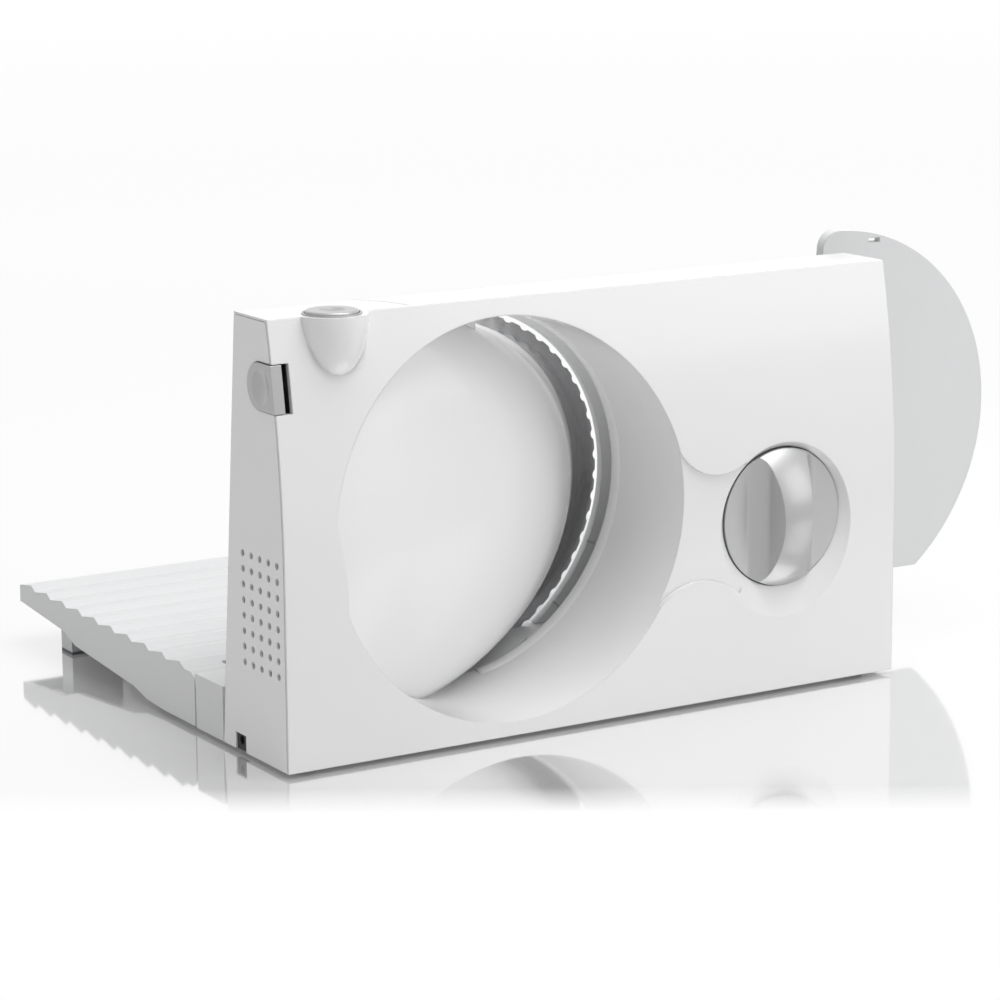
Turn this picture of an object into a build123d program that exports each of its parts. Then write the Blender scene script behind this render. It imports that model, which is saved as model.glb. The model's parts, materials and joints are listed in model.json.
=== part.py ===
"""Electric folding food slicer: a flat upright housing with a round slice dish and thickness knob in
front, a serrated blade and stop plate behind it, and a ribbed food table hinged along its foot.

X runs along the housing, Y from the front to the back, Z up. The named places are measured from the
housing's bottom left front corner and moved to the origin, the bottom centre of the whole slicer.
"""
import os
from math import atan2, cos, hypot, pi, radians, sin, sqrt, tan

from build123d import *

# Blade: its size drives the dish in front of it and the stop plate beside it
blade_radius = 85.0
blade_thickness = 1.1
teeth_count = 54
serration_radius = 3.4
serration_depth = 1.1

# Dish in the front
dish_margin = 3.7
dish_left_margin = 25.1
dish_low_margin = 5.7
dish_top_margin = 7.9
dish_radius = blade_radius + dish_margin
dish_x = dish_left_margin + dish_radius
dish_z = dish_low_margin + dish_radius
mouth_inset = 3.2
mouth_left_shift = 5.0
mouth_rise = 4.5
mouth_x = dish_x - mouth_left_shift
mouth_z = dish_z + mouth_rise
mouth_radius = dish_radius - mouth_inset
ramp_inset = 0.7
ramp_edge_gap = 0.1
ramp_rise = 2.1
ramp_radius = dish_radius - ramp_inset
ramp_x = dish_left_margin - ramp_edge_gap
ramp_z = dish_z + ramp_rise
front_tilt = -3.4
ramp_across_shares = (-0.135, 0.0, 0.228, 0.4615, 0.671, 0.8, 0.905, 1.0)
ramp_depth_shares = (-0.068, 0.0, 0.109, 0.232, 0.368, 0.518, 0.708, 1.0)
ramp_tilt_shares = (0.0, 0.0, 0.1, 0.21, 0.38, 0.55, 0.77, 1.0)

# Knob and the recess round it
knob_radius = 31.7
knob_drop = 14.6
knob_rim_y = 2.0
knob_crest_y = -11.0
knob_thickness = 9.8
knob_hub_radius = 8.0
knob_floor_thickness = 4.5
recess_side_margin = 4.9
recess_end_margin = 9.1
recess_drop = 5.3
recess_step_y = 4.0
recess_well_gap = 0.5
recess_well_radius = knob_radius + recess_well_gap
recess_floor_gap = 1.2
recess_boss_radius = 10.0
recess_boss_length = 8.0
recess_right_margin = 25.3
recess_half_width = knob_radius + recess_side_margin
recess_half_height = knob_radius + recess_end_margin

# Neck between the dish and the recess
neck_width = 17.0
neck_depth = 2.2
neck_lap = 1.6
neck_top_shift = 9.6
neck_top_rise = 48.5
neck_bottom_shift = 1.0
neck_bottom_drop = 56.0

# Housing
length = dish_x + dish_radius + neck_width + 2 * recess_half_width + recess_right_margin
height = dish_z + dish_radius + dish_top_margin
depth = 59.5
back_lean = 5.53
top_setback = 11.8
straight_height = 80.0
wall = 2.5
seam_gap = 0.2
front_seam = 0.5
lap = 0.9
overrun = 5.0
fit_gap = 0.05
panel_gap = 0.4

# Places that follow from the housing and the dish
knob_x = length - recess_right_margin - recess_half_width
knob_z = dish_z - knob_drop
knob_back_y = knob_rim_y + knob_thickness
recess_z = knob_z - recess_drop
recess_floor_y = knob_back_y + recess_floor_gap
recess_boss_end = recess_floor_y + recess_boss_length
neck_middle = dish_x + dish_radius + neck_width / 2
neck_top_x = neck_middle + neck_top_shift
neck_top_z = knob_z + neck_top_rise
neck_bottom_x = neck_middle - neck_bottom_shift
neck_bottom_z = knob_z - neck_bottom_drop
neck_top_radius = hypot(neck_top_x - dish_x, neck_top_z - dish_z) - dish_radius + neck_lap
neck_bottom_radius = hypot(neck_bottom_x - dish_x, neck_bottom_z - dish_z) - dish_radius + neck_lap

# Blade's place, its drum and its drive, all square to the leaning blade plane; z runs up that plane
blade_right_shift = 4.0
blade_drop = 1.4
blade_x = dish_x + blade_right_shift
blade_z = dish_z - blade_drop
drum_depth = 23.0
lip_station = depth + drum_depth
lip_inset = 3.5
lip_left_shift = 14.3
lip_drop = 0.4
lip_radius = blade_radius - lip_inset
lip_right = dish_x + dish_radius - lip_left_shift
lip_z = dish_z - lip_drop
split_shift = 0.8
split_x = blade_x - split_shift
blade_step = 3.5
blade_station = lip_station + blade_step
shaft_radius = 5.0
hub_radius = 16.0
lock_radius = 21.0
lock_height = 4.5
grip_width = 6.0
plate_thickness = 2.0
bearing_boss_radius = 12.0
bearing_boss_length = 13.0
bush_wall = 2.0
gear_teeth = 72
gear_inset = 45.5
gear_radius = lip_radius - gear_inset
gear_width = 10.0
gear_setback = 27.5
gear_station = lip_station - gear_setback
gear_hub_radius = 10.0
gear_tip_rise = 0.75
gear_root_drop = 1.25
tooth_root_width = 1.7
tooth_tip_width = 0.8
shaft_overhang = 3.0
shaft_end_station = gear_station - shaft_overhang
flange_thickness = 1.9
pilot_radius = 9.0
pilot_height = 1.0
lock_disc_height = 2.0
worm_radius = 5.0
worm_root = 3.9
worm_tip = 5.9
worm_ridge = 1.1
worm_turns = 7
worm_length = 26.0
worm_x = blade_x - gear_radius - worm_radius
worm_station = gear_station + gear_width / 2
worm_low_z = blade_z - worm_length / 2
worm_block_rise = 20.5
worm_block_height = 8.0
worm_block_width = 16.0
worm_block_z = blade_z + worm_block_rise
motor_radius = 17.0
motor_wall = 1.5
motor_length = 33.0
motor_cap_length = 4.0
motor_drum_gap = 0.9
motor_reach = lip_radius - wall - motor_drum_gap
motor_corner = lip_right - lip_radius - worm_x + motor_radius
motor_low_z = lip_z - sqrt(motor_reach * motor_reach - motor_corner * motor_corner)
armature_radius = 12.0
armature_rise = 11.0
armature_length = 19.0
armature_low_z = motor_low_z + armature_rise
rotor_radius = 2.5
rotor_inset = 2.3
rotor_overhang = 3.0
rotor_low_z = motor_low_z + rotor_inset
rotor_high_z = worm_block_z + rotor_overhang
saddle_low_rise = 6.0
saddle_high_rise = 25.0
saddle_low_z = motor_low_z + saddle_low_rise
saddle_high_z = motor_low_z + saddle_high_rise
saddle_length = 6.0
saddle_half_width = 12.0
saddle_height = 9.0
clamp_width = 10.0
clamp_thickness = 1.5
clamp_foot = 9.0
clamp_rise = 13.0
clamp_low_z = motor_low_z + clamp_rise
clamp_screw_length = 3.4

# Power button on top
power_x = 31.5
power_y = 13.5
power_radius = 12.6
power_ring_wall = 0.8
power_ring_depth = 2.0
power_ring_height = 0.6
power_cap_radius = power_radius - power_ring_wall - panel_gap
power_cap_depth = 2.0
power_cap_height = 1.6
power_cap_round = 1.0
power_dimple_radius = 5.8
power_dimple_depth = 1.4
power_travel = 2.4
power_stem_radius = 3.0
power_stem_drop = 42.4
power_stem_end = height - power_stem_drop
power_seat_depth = power_cap_depth + power_travel + seam_gap
power_spring_depth = 13.0
spring_pocket_radius = 5.4
bulge_radius = 15.6
bulge_drop = 28.0
bulge_tip_forward = 3.0
bulge_tip_radius = 2.0
bulge_tip_z = height - bulge_drop
bulge_tip_y = power_y - bulge_tip_forward
bulge_drop_shares = (0.0, 0.3, 0.55, 0.75, 0.89, 0.97)
bulge_radius_shares = (1.0, 0.955, 0.835, 0.66, 0.455, 0.24)
seam_arc_radius = 37.0
seam_arc_width = 0.5
seam_arc_start = 12.0
seam_arc_end = 40.0

# Safety button on the left front corner
safety_y = 19.0
safety_drop = 28.5
safety_z = height - safety_drop
safety_radius = 10.0
safety_proud = 0.8
safety_depth = 4.4
safety_travel = 3.0
safety_dimple_radius = 7.6
safety_dimple_depth = 1.6
safety_dimple_shift = 2.0
safety_stem_radius = 2.5
safety_stem_length = 20.0
safety_spring_length = 12.6
safety_spring_end = safety_depth + safety_spring_length
safety_stem_proud = 0.7
guide_end = safety_depth + safety_stem_length - safety_stem_proud
guide_forward = 11.0
guide_backward = 12.5
guide_down = 13.0
guide_up = 11.5
switch_forward = 1.8
guide_front = safety_y - guide_forward
guide_back = safety_y + guide_backward
guide_low = safety_z - guide_down
guide_high = safety_z + guide_up
safety_switch_left = safety_depth + safety_stem_length + safety_travel + panel_gap
safety_switch_front = safety_y - switch_forward
safety_switch_depth = 12.0
safety_switch_height = 16.0
shelf_thickness = 3.0

# Vents, cord notch and grommet in the left end
vent_columns = 5
vent_rows = 8
vent_radius = 1.5
vent_front_margin = 7.1
vent_back_margin = 21.6
vent_y = (vent_front_margin + depth - vent_back_margin) / 2
vent_pitch_y = (depth - vent_back_margin - vent_front_margin) / (vent_columns - 1)
vent_z = 64.5
vent_pitch_z = 6.8
notch_setback = 20.9
notch_front = depth - notch_setback
notch_width = 9.4
notch_height = 7.5
grommet_flange = 1.2
grommet_bore = 2.0
grommet_bore_z = 4.6
grommet_inset = 0.6

# Base tray and the sill behind the housing
tray_thickness = 2.5
sill_depth = 26.5
sill_back = depth + sill_depth
sill_height = 24.5
blade_slot_gap = 2.2
foot_height = 2.0
foot_radius = 6.0
foot_inset = 14.0
foot_floor_length = 28.0
foot_back_reach = 14.5
foot_back_y = depth + foot_back_reach
boss_radius = 4.0
screw_radius = 1.4
screw_head_radius = 2.8
screw_head_height = 1.6
screw_length = 10.0
base_boss_height = 15.0
base_boss_inset = 6.2
base_boss_y = 30.0
base_boss_setback = 6.9
base_boss_left = 60.0
base_boss_right = 83.0
base_boss_places = (
    (base_boss_inset, base_boss_y),
    (length - base_boss_inset, base_boss_y),
    (base_boss_left, depth - base_boss_setback),
    (length - base_boss_right, depth - base_boss_setback),
)
drum_boss_angles = (100.0, 180.0, 260.0)
drum_boss_inset = 5.7
drum_boss_reach = lip_radius - drum_boss_inset
cover_boss_left = 12.0
cover_boss_left_z = 30.0
cover_boss_side = 14.0
cover_boss_side_drop = 73.0
cover_boss_right = 10.0
cover_boss_right_z = 22.0
cover_boss_right_drop = 23.0
cover_boss_places = (
    (cover_boss_left, cover_boss_left_z),
    (cover_boss_side, height - cover_boss_side_drop),
    (length - cover_boss_right, cover_boss_right_z),
    (length - cover_boss_right, height - cover_boss_right_drop),
)

# Stop plate and its carriage
stop_reach = 110.3
stop_radius = 99.3
stop_thickness = 4.0
stop_step = 0.5
stop_rise = 8.1
stop_sill_gap = 0.8
stop_top_drop = 13.0
stop_left_gap = 1.8
stop_corner_gap = 4.5
stop_corner_round = 8.2
stop_lobe_width = 26.5
stop_pad_height = 1.0
stop_slot_reach = 30.5
stop_slot_margin = 1.2
stop_slot_width = 7.2
stop_slot_height = 2.2
stop_rule_width = 0.8
stop_rule_angles = (-20.9, -42.4)
stop_rule_length = 6.1
stop_station = blade_station + stop_step
stop_x = length + stop_reach - stop_radius
stop_z = height + stop_rise - stop_radius
stop_bottom = sill_height + stop_sill_gap
stop_low_top = height - stop_top_drop
stop_corner_x = length + stop_corner_gap
stop_lobe_right = stop_corner_x + stop_lobe_width
stop_slot_x = stop_corner_x + stop_slot_reach
stop_slot_corner = stop_slot_x + stop_slot_width / 2 - stop_x
stop_slot_rim = stop_z + sqrt(stop_radius * stop_radius - stop_slot_corner * stop_slot_corner)
stop_slot_z = stop_slot_rim - stop_slot_margin - stop_slot_height / 2
rod_radius = 4.0
rod_spread = 34.0
rod_left_x = knob_x - rod_spread
rod_right_x = knob_x + rod_spread
rod_boss_radius = 8.0
rod_boss_gap = 10.0
rod_boss_length = 7.0
rod_boss_front = depth + rod_boss_gap
rod_boss_back = rod_boss_front + rod_boss_length
rod_seat = 5.0
rod_end = rod_boss_front + rod_seat
fence_screw_length = 12.0
crossbar_height = 12.0
crossbar_overhang = 7.0
bush_radius = 6.5
bush_setback = 13.5
bush_front = depth - bush_setback
crossbar_gap = 3.0
crossbar_depth = 6.0
crossbar_front = bush_front - crossbar_gap - crossbar_depth
bush_length = 8.0
nut_radius = 7.0

# Knob's grip, hub and spindle
knob_hub_gap = 0.3
knob_hub_end = recess_floor_y - knob_hub_gap
grip_half_width = 7.4
grip_foot_half_width = 12.5
scoop_floor_y = 4.0
scoop_rim_y = 2.6
scoop_round = 9.0
knob_pocket_y = scoop_floor_y + knob_floor_thickness
spindle_radius = 3.95
spindle_seat = 0.2
spindle_start = scoop_floor_y + spindle_seat
spindle_overhang = 2.5
spindle_end = crossbar_front + crossbar_depth + spindle_overhang
spindle_bush_radius = 7.0

# Food table
table_back = 276.0
table_gap = 1.0
table_front = sill_back + table_gap
table_wall = 2.6
table_edge_low = 18.4
skirt_clear = 0.3
skirt_shares = ((0.254, 14.2), (0.333, 9.5), (0.667, 4.5), (0.741, 1.3), (0.836, 0.3))
rib_setback = 11.5
rib_start = sill_back + rib_setback
table_sill_drop = 0.3
table_front_top = sill_height - table_sill_drop
table_rise = 2.2
rib_height = 2.4
rib_count = 10
rib_steep_share = 0.26
hinge_setback = 6.5
hinge_drop = 5.5
hinge_y = sill_back + hinge_setback
hinge_z = sill_height - hinge_drop
hinge_pin_radius = 2.0
hinge_nose_radius = 5.3
lug_width = 8.0
lug_radius = 4.8
lug_inset = 20.0
lug_places = (lug_inset, length - lug_inset - lug_width)
lug_gap = 0.6
knuckle_length = 9.9
knuckle_radius = 4.2
notch_reach = 1.2
notch_back = rib_start + notch_reach
leg_setback = 32.0
leg_y = table_back - leg_setback
leg_width = 12.0
leg_length = 26.0
leg_inset = 9.5
pad_thickness = 1.5

# Parts held inside the housing
switch_width = 10.0
switch_length = 20.0
switch_height = 12.0
switch_front = 12.0
switch_low = power_stem_end - power_travel - seam_gap - switch_height
bracket_thickness = 3.0
bracket_drop = 14.0
spring_wire_radius = 0.5
spring_turns = 4
spring_coil_radius = 4.4
terminal_x = 35.0
terminal_y = 19.0
capacitor_x = 34.0
capacitor_y = 35.0
terminal_length = 30.0
terminal_width = 14.0
terminal_height = 12.0
capacitor_length = 24.0
capacitor_width = 10.0
capacitor_height = 18.0

lean = radians(back_lean)
back_top = depth - height * tan(lean)
origin_x = -(stop_x + stop_radius - safety_proud) / 2
origin_y = -(table_back + knob_crest_y) / 2
origin_z = foot_height
os.makedirs("parts", exist_ok=True)


# Planes that carry the named places into the frame
def front_plane(y):
    """Upright plane facing the viewer; a positive extrusion comes forward."""
    return Plane(origin=(origin_x, y + origin_y, origin_z), x_dir=(1, 0, 0), z_dir=(0, -1, 0))


def lean_plane(station):
    """Plane parallel to the blade, meeting the housing's foot level at the given depth."""
    place = (origin_x, station + origin_y, origin_z)
    return Plane(origin=place, x_dir=(1, 0, 0), z_dir=(0, -cos(lean), -sin(lean)))


def end_plane(x):
    """Plane across the housing; local x is depth and local y is height."""
    return Plane(origin=(x + origin_x, origin_y, origin_z), x_dir=(0, 1, 0), z_dir=(1, 0, 0))


def level_plane(z):
    """Level plane seen from above."""
    return Plane(origin=(origin_x, origin_y, z + origin_z))


def drive_plane(station):
    """Plane square to the blade's axis; a place drawn on it keeps one axis at every station."""
    return lean_plane(blade_station).offset(blade_station - station)


def rise_plane(v):
    """Plane square to the motor's axis at a height v up the blade plane, local y towards the table."""
    base = drive_plane(worm_station)
    return Plane(origin=base.from_local_coords((worm_x, v, 0)), x_dir=(1, 0, 0), z_dir=base.y_dir)


def depth_at(station, v):
    """Depth of a point v up a plane parallel to the blade."""
    return station - v * sin(lean)


def front_at(z):
    """Depth of the front face at height z."""
    if z <= straight_height:
        return 0.0
    rise = height - straight_height
    bow = (rise * rise + top_setback * top_setback) / (2 * top_setback)
    return bow - sqrt(bow * bow - (z - straight_height) ** 2)


def keep(part, name):
    """Labels a finished piece and writes it under its name."""
    part.label = name
    export_step(part, f"parts/{name}.step")


# Outlines shared by the housing's parts
def housing_outline(front, back, top):
    """The housing's section, with its front, back and top moved in by so much each."""
    with BuildLine() as outline:
        rise = Line((front, 0), (front, straight_height))
        curve = TangentArc((front, straight_height), (top_setback + front, height), tangent=(0, 1))
        cap = Line(curve @ 1, (back_top - back, height))
        fall = Line(cap @ 1, (depth - back, 0))
        Line(fall @ 1, rise @ 0)
    make_face(outline.edges())
    if top > 0:
        with Locations((depth / 2, height)):
            Rectangle(2 * depth, 2 * top, mode=Mode.SUBTRACT)


def safety_outline(gap):
    """The safety button's outline on the end: square to the front, round at the back."""
    with Locations((safety_y, safety_z)):
        Circle(safety_radius + gap)
    with Locations(((safety_y - overrun) / 2, safety_z)):
        Rectangle(safety_y + overrun, 2 * (safety_radius + gap))


def ramp_loft(shrink):
    """Loft through the discs of the dish's floor, which slide right and deepen towards the lip."""
    run = lip_right - ramp_x
    drop = depth_at(lip_station, lip_z)
    discs = []
    for across, deep, tilt in zip(ramp_across_shares, ramp_depth_shares, ramp_tilt_shares):
        angle = radians(front_tilt + (back_lean - front_tilt) * tilt)
        near_lip = max(0.0, (across - ramp_across_shares[-3]) / (1 - ramp_across_shares[-3]))
        radius = ramp_radius + (lip_radius - ramp_radius) * near_lip
        place = (
            ramp_x + run * across - radius + origin_x,
            drop * deep + shrink + origin_y,
            ramp_z + (lip_z - ramp_z) * near_lip + origin_z,
        )
        disc_plane = Plane(origin=place, x_dir=(1, 0, 0), z_dir=(0, -cos(angle), -sin(angle)))
        with BuildSketch(disc_plane) as disc:
            Circle(radius - shrink)
        discs.append(disc.sketch)
    loft(discs)


def dish_loft(grow):
    """Loft from the dish's rim in the front to its mouth in the back, grown all round."""
    with BuildSketch(front_plane(-overrun)) as rim:
        with Locations((dish_x, dish_z)):
            Circle(dish_radius + grow)
    with BuildSketch(lean_plane(depth + overrun)) as mouth:
        with Locations((mouth_x, mouth_z)):
            Circle(mouth_radius + grow)
    loft([rim.sketch, mouth.sketch])


def drum_place(angle):
    """Place of a drum plate screw at an angle round the drum."""
    reach = radians(angle)
    return (lip_right - lip_radius + drum_boss_reach * cos(reach), lip_z + drum_boss_reach * sin(reach))


def put_screw(plane, place, shank, way):
    """A screw with its head's seat on the plane; the head rises the given way and the shank runs back."""
    with BuildSketch(plane) as head:
        with Locations(place):
            Circle(screw_head_radius)
    extrude(head.sketch, amount=way * screw_head_height)
    with BuildSketch(plane) as stem:
        with Locations(place):
            Circle(screw_radius)
    extrude(stem.sketch, amount=-way * shank)


def coil(plane, radius, wire, rise, turns):
    """A round wire wound from the plane upwards."""
    with BuildLine() as path:
        Helix(rise / turns, rise, radius)
    wound = plane.location * path.line
    with BuildSketch(Plane(origin=wound @ 0, z_dir=wound % 0)) as wire_end:
        Circle(wire)
    sweep(wire_end.sketch, path=wound, is_frenet=True)


# Solids that shape the dish
with BuildPart() as ramp_outer:
    ramp_loft(0.0)

with BuildPart() as ramp_inner:
    ramp_loft(wall)

with BuildPart() as dish_void:
    dish_loft(0.0)

with BuildPart() as dish_clearance:
    dish_loft(wall + panel_gap)
    with BuildSketch(lean_plane(depth + overrun)):
        with Locations(((split_x + length) / 2, height / 2)):
            Rectangle(length - split_x, 2 * height)
    extrude(amount=2 * overrun + wall, mode=Mode.INTERSECT)

with BuildPart() as dish_bowl:
    dish_loft(wall)
    with BuildSketch(end_plane(0)):
        housing_outline(0, 0, 0)
    extrude(amount=length, mode=Mode.INTERSECT)
    with BuildSketch(lean_plane(depth + overrun)):
        with Locations((split_x / 2, height / 2)):
            Rectangle(split_x, 2 * height)
    extrude(amount=overrun + wall + panel_gap, mode=Mode.SUBTRACT)

with BuildPart() as dish_open:
    add(dish_void.part)
    add(ramp_outer.part, mode=Mode.SUBTRACT)

with BuildPart() as ramp_tail:
    add(ramp_outer.part)
    add(ramp_inner.part, mode=Mode.SUBTRACT)
    with BuildSketch(lean_plane(lip_station)):
        with Locations(((split_x + length) / 2, height / 2)):
            Rectangle(length - split_x, height)
    extrude(amount=lip_station - depth + wall, mode=Mode.INTERSECT)

with BuildPart() as dish_shell:
    add(dish_bowl.part)
    add(dish_open.part, mode=Mode.SUBTRACT)
    add(ramp_inner.part, mode=Mode.SUBTRACT)
    add(ramp_tail.part)

# Solids that shape the knob's recess, the neck and the button's bulge
def recess_solid(grow):
    """The recess: a slope from its oval rim in to a round well for the knob, grown all round."""
    with BuildSketch(front_plane(0)) as rim:
        with Locations((knob_x, recess_z)):
            Ellipse(recess_half_width + grow, recess_half_height + grow)
    with BuildSketch(front_plane(recess_step_y + grow)) as well:
        with Locations((knob_x, knob_z)):
            Circle(recess_well_radius + grow)
    loft([rim.sketch, well.sketch])
    extrude(well.sketch, amount=-(recess_floor_y - recess_step_y))


with BuildPart() as recess_bowl:
    recess_solid(wall)

with BuildPart() as recess_void:
    recess_solid(0.0)
    with BuildSketch(front_plane(0)):
        with Locations((knob_x, recess_z)):
            Ellipse(recess_half_width, recess_half_height)
    extrude(amount=overrun)


def neck_outline():
    """The waist between the dish and the recess, drawn in by a round on each side."""
    with BuildLine() as outline:
        Polyline(
            (dish_x, dish_z),
            (neck_top_x, neck_top_z),
            (knob_x, recess_z),
            (neck_bottom_x, neck_bottom_z),
            close=True,
        )
    make_face(outline.edges())
    with Locations((neck_top_x, neck_top_z)):
        Circle(neck_top_radius, mode=Mode.SUBTRACT)
    with Locations((neck_bottom_x, neck_bottom_z)):
        Circle(neck_bottom_radius, mode=Mode.SUBTRACT)


with BuildPart() as bulge_seat:
    with BuildSketch(level_plane(height)):
        with Locations((power_x, power_y)):
            Circle(bulge_radius)
    with BuildSketch(level_plane(bulge_tip_z)):
        with Locations((power_x, bulge_tip_y)):
            Circle(bulge_tip_radius)
    loft()

with BuildPart() as bulge_skin:
    for drop_share, radius_share in zip(bulge_drop_shares, bulge_radius_shares):
        with BuildSketch(level_plane(height - bulge_drop * drop_share)):
            with Locations((power_x, power_y)):
                Circle(bulge_radius * radius_share)
    loft()
    with BuildSketch(end_plane(-overrun)):
        housing_outline(wall, -overrun, wall)
    extrude(amount=length, mode=Mode.SUBTRACT)

# Front cover: front and top panel with the dish, the recess, the neck between them and the bulge
with BuildPart() as front_cover:
    with BuildSketch(end_plane(0)):
        housing_outline(0, 0, 0)
    extrude(amount=length)
    with BuildSketch(end_plane(-overrun)):
        housing_outline(lap, -overrun, lap)
        with Locations((depth / 2, -overrun / 2)):
            Rectangle(2 * depth, overrun)
    extrude(amount=length + 2 * overrun, mode=Mode.SUBTRACT)
    with BuildSketch(end_plane(wall + seam_gap)):
        housing_outline(lap / 2, wall + seam_gap, lap / 2)
    extrude(amount=length - 2 * (wall + seam_gap))
    with BuildSketch(end_plane(wall + seam_gap)):
        housing_outline(wall, -overrun, wall)
    extrude(amount=length - 2 * (wall + seam_gap), mode=Mode.SUBTRACT)
    with BuildSketch(front_plane(0)):
        neck_outline()
    extrude(amount=-(neck_depth + wall))
    add(recess_bowl.part)
    with BuildSketch(front_plane(recess_floor_y)):
        with Locations((knob_x, knob_z)):
            Circle(recess_boss_radius)
    extrude(amount=-(recess_boss_end - recess_floor_y))
    for x, z in cover_boss_places:
        boss_front = front_at(z + boss_radius) + seam_gap
        with BuildSketch(front_plane(boss_front)):
            with Locations((x, z)):
                Circle(boss_radius)
        extrude(amount=-(depth_at(depth - wall - seam_gap, z + boss_radius) - boss_front))
    with BuildSketch(end_plane(0)):
        housing_outline(0, 0, 0)
    extrude(amount=length, mode=Mode.INTERSECT)
    add(bulge_skin.part)
    add(bulge_seat.part)
    add(dish_void.part, mode=Mode.SUBTRACT)
    add(dish_shell.part)
    with BuildSketch(front_plane(-overrun)):
        neck_outline()
    extrude(amount=-(neck_depth + overrun), mode=Mode.SUBTRACT)
    add(recess_void.part, mode=Mode.SUBTRACT)
    with BuildSketch(front_plane(recess_floor_y - overrun)):
        with Locations((knob_x, knob_z)):
            Circle(spindle_bush_radius + fit_gap)
    extrude(amount=-(recess_boss_end + overrun), mode=Mode.SUBTRACT)
    with BuildSketch(level_plane(height + overrun)):
        with Locations((power_x, power_y)):
            Circle(power_radius + fit_gap)
    extrude(amount=-(overrun + power_ring_depth), mode=Mode.SUBTRACT)
    with BuildSketch(level_plane(height)):
        with Locations((power_x, power_y)):
            Circle(power_cap_radius + panel_gap)
    extrude(amount=-power_seat_depth, mode=Mode.SUBTRACT)
    with BuildSketch(level_plane(height)):
        with Locations((power_x, power_y)):
            Circle(spring_pocket_radius)
    extrude(amount=-power_spring_depth, mode=Mode.SUBTRACT)
    with BuildSketch(level_plane(height)):
        with Locations((power_x, power_y)):
            Circle(power_stem_radius + fit_gap)
    extrude(amount=-(height - power_stem_end), mode=Mode.SUBTRACT)
    with BuildSketch(end_plane(-overrun)):
        safety_outline(panel_gap)
    extrude(amount=overrun + safety_depth + safety_travel + panel_gap, mode=Mode.SUBTRACT)
    for x, z in cover_boss_places:
        with BuildSketch(front_plane(front_at(z) + 2 * wall)):
            with Locations((x, z)):
                Circle(screw_radius + fit_gap)
        extrude(amount=-depth, mode=Mode.SUBTRACT)
    with BuildSketch(level_plane(height)):
        with Locations((power_x, power_y)):
            Circle(seam_arc_radius + seam_arc_width)
            Circle(seam_arc_radius, mode=Mode.SUBTRACT)
        with Locations((power_x, power_y)):
            with BuildLine():
                Polyline(
                    (0, 0),
                    (length, length * tan(radians(seam_arc_start))),
                    (length, length * tan(radians(seam_arc_end))),
                    close=True,
                )
            make_face(mode=Mode.INTERSECT)
    extrude(amount=-seam_arc_width, mode=Mode.SUBTRACT)
keep(front_cover.part, "front_cover")

# Rear housing: both ends, the back wall and the round drum that carries the blade
with BuildPart() as rear_housing:
    with BuildSketch(end_plane(0)):
        housing_outline(lap + front_seam, 0, lap + seam_gap)
    extrude(amount=length)
    with BuildSketch(end_plane(wall)):
        with BuildLine():
            Polyline(
                (-overrun, -overrun),
                (-overrun, height + overrun),
                (back_top - wall - overrun * tan(lean), height + overrun),
                (depth - wall + overrun * tan(lean), -overrun),
                close=True,
            )
        make_face()
    extrude(amount=length - 2 * wall, mode=Mode.SUBTRACT)
    with BuildSketch(drive_plane(lip_station)):
        with Locations((lip_right - lip_radius, lip_z)):
            Circle(lip_radius)
            Circle(lip_radius - wall, mode=Mode.SUBTRACT)
        with Locations((split_x - panel_gap + length / 2, height / 2)):
            Rectangle(length, 2 * height, mode=Mode.SUBTRACT)
    extrude(amount=lip_station - depth + wall)
    with BuildSketch(drive_plane(depth + overrun)):
        with Locations((lip_right - lip_radius, lip_z)):
            Circle(lip_radius - wall)
    extrude(amount=2 * overrun + wall, mode=Mode.SUBTRACT)
    add(dish_clearance.part, mode=Mode.SUBTRACT)
    for angle in drum_boss_angles:
        with BuildSketch(drive_plane(lip_station - plate_thickness - seam_gap)):
            with Locations(drum_place(angle)):
                Circle(boss_radius)
                Circle(screw_radius + fit_gap, mode=Mode.SUBTRACT)
        extrude(amount=lip_station - plate_thickness - seam_gap - depth + wall)
    for x, y in base_boss_places:
        with BuildSketch(level_plane(tray_thickness + seam_gap)):
            with Locations((x, y)):
                Circle(boss_radius)
        extrude(amount=base_boss_height)
    for x, y in base_boss_places:
        with BuildSketch(level_plane(0)):
            with Locations((x, y)):
                Circle(screw_radius + fit_gap)
        extrude(amount=base_boss_height, mode=Mode.SUBTRACT)
    with BuildSketch(level_plane(-overrun)):
        with Locations((length / 2, depth)):
            Rectangle(length - 2 * wall, 2 * (wall + overrun))
    extrude(amount=overrun + tray_thickness + seam_gap, mode=Mode.SUBTRACT)
    with BuildSketch(end_plane(-overrun)):
        with Locations((vent_y, vent_z)):
            with GridLocations(vent_pitch_y, vent_pitch_z, vent_columns, vent_rows):
                Circle(vent_radius)
    extrude(amount=2 * overrun, mode=Mode.SUBTRACT)
    with BuildSketch(end_plane(-overrun)):
        safety_outline(panel_gap)
    extrude(amount=2 * overrun, mode=Mode.SUBTRACT)
    with BuildSketch(end_plane(-overrun)):
        with Locations((notch_front + notch_width / 2, 0)):
            Rectangle(notch_width, 2 * notch_height)
    extrude(amount=2 * overrun, mode=Mode.SUBTRACT)
    for x in (rod_left_x, rod_right_x):
        with BuildSketch(front_plane(crossbar_front)):
            with Locations((x, knob_z)):
                Circle(bush_radius + fit_gap)
        extrude(amount=-depth, mode=Mode.SUBTRACT)
    for x, z in cover_boss_places:
        with BuildSketch(front_plane(crossbar_front)):
            with Locations((x, z)):
                Circle(screw_radius + fit_gap)
        extrude(amount=-depth, mode=Mode.SUBTRACT)
        with BuildSketch(front_plane(depth_at(depth, z) - screw_head_height / 2 - seam_gap)):
            with Locations((x, z)):
                Circle(screw_head_radius + seam_gap)
        extrude(amount=-depth, mode=Mode.SUBTRACT)
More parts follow.
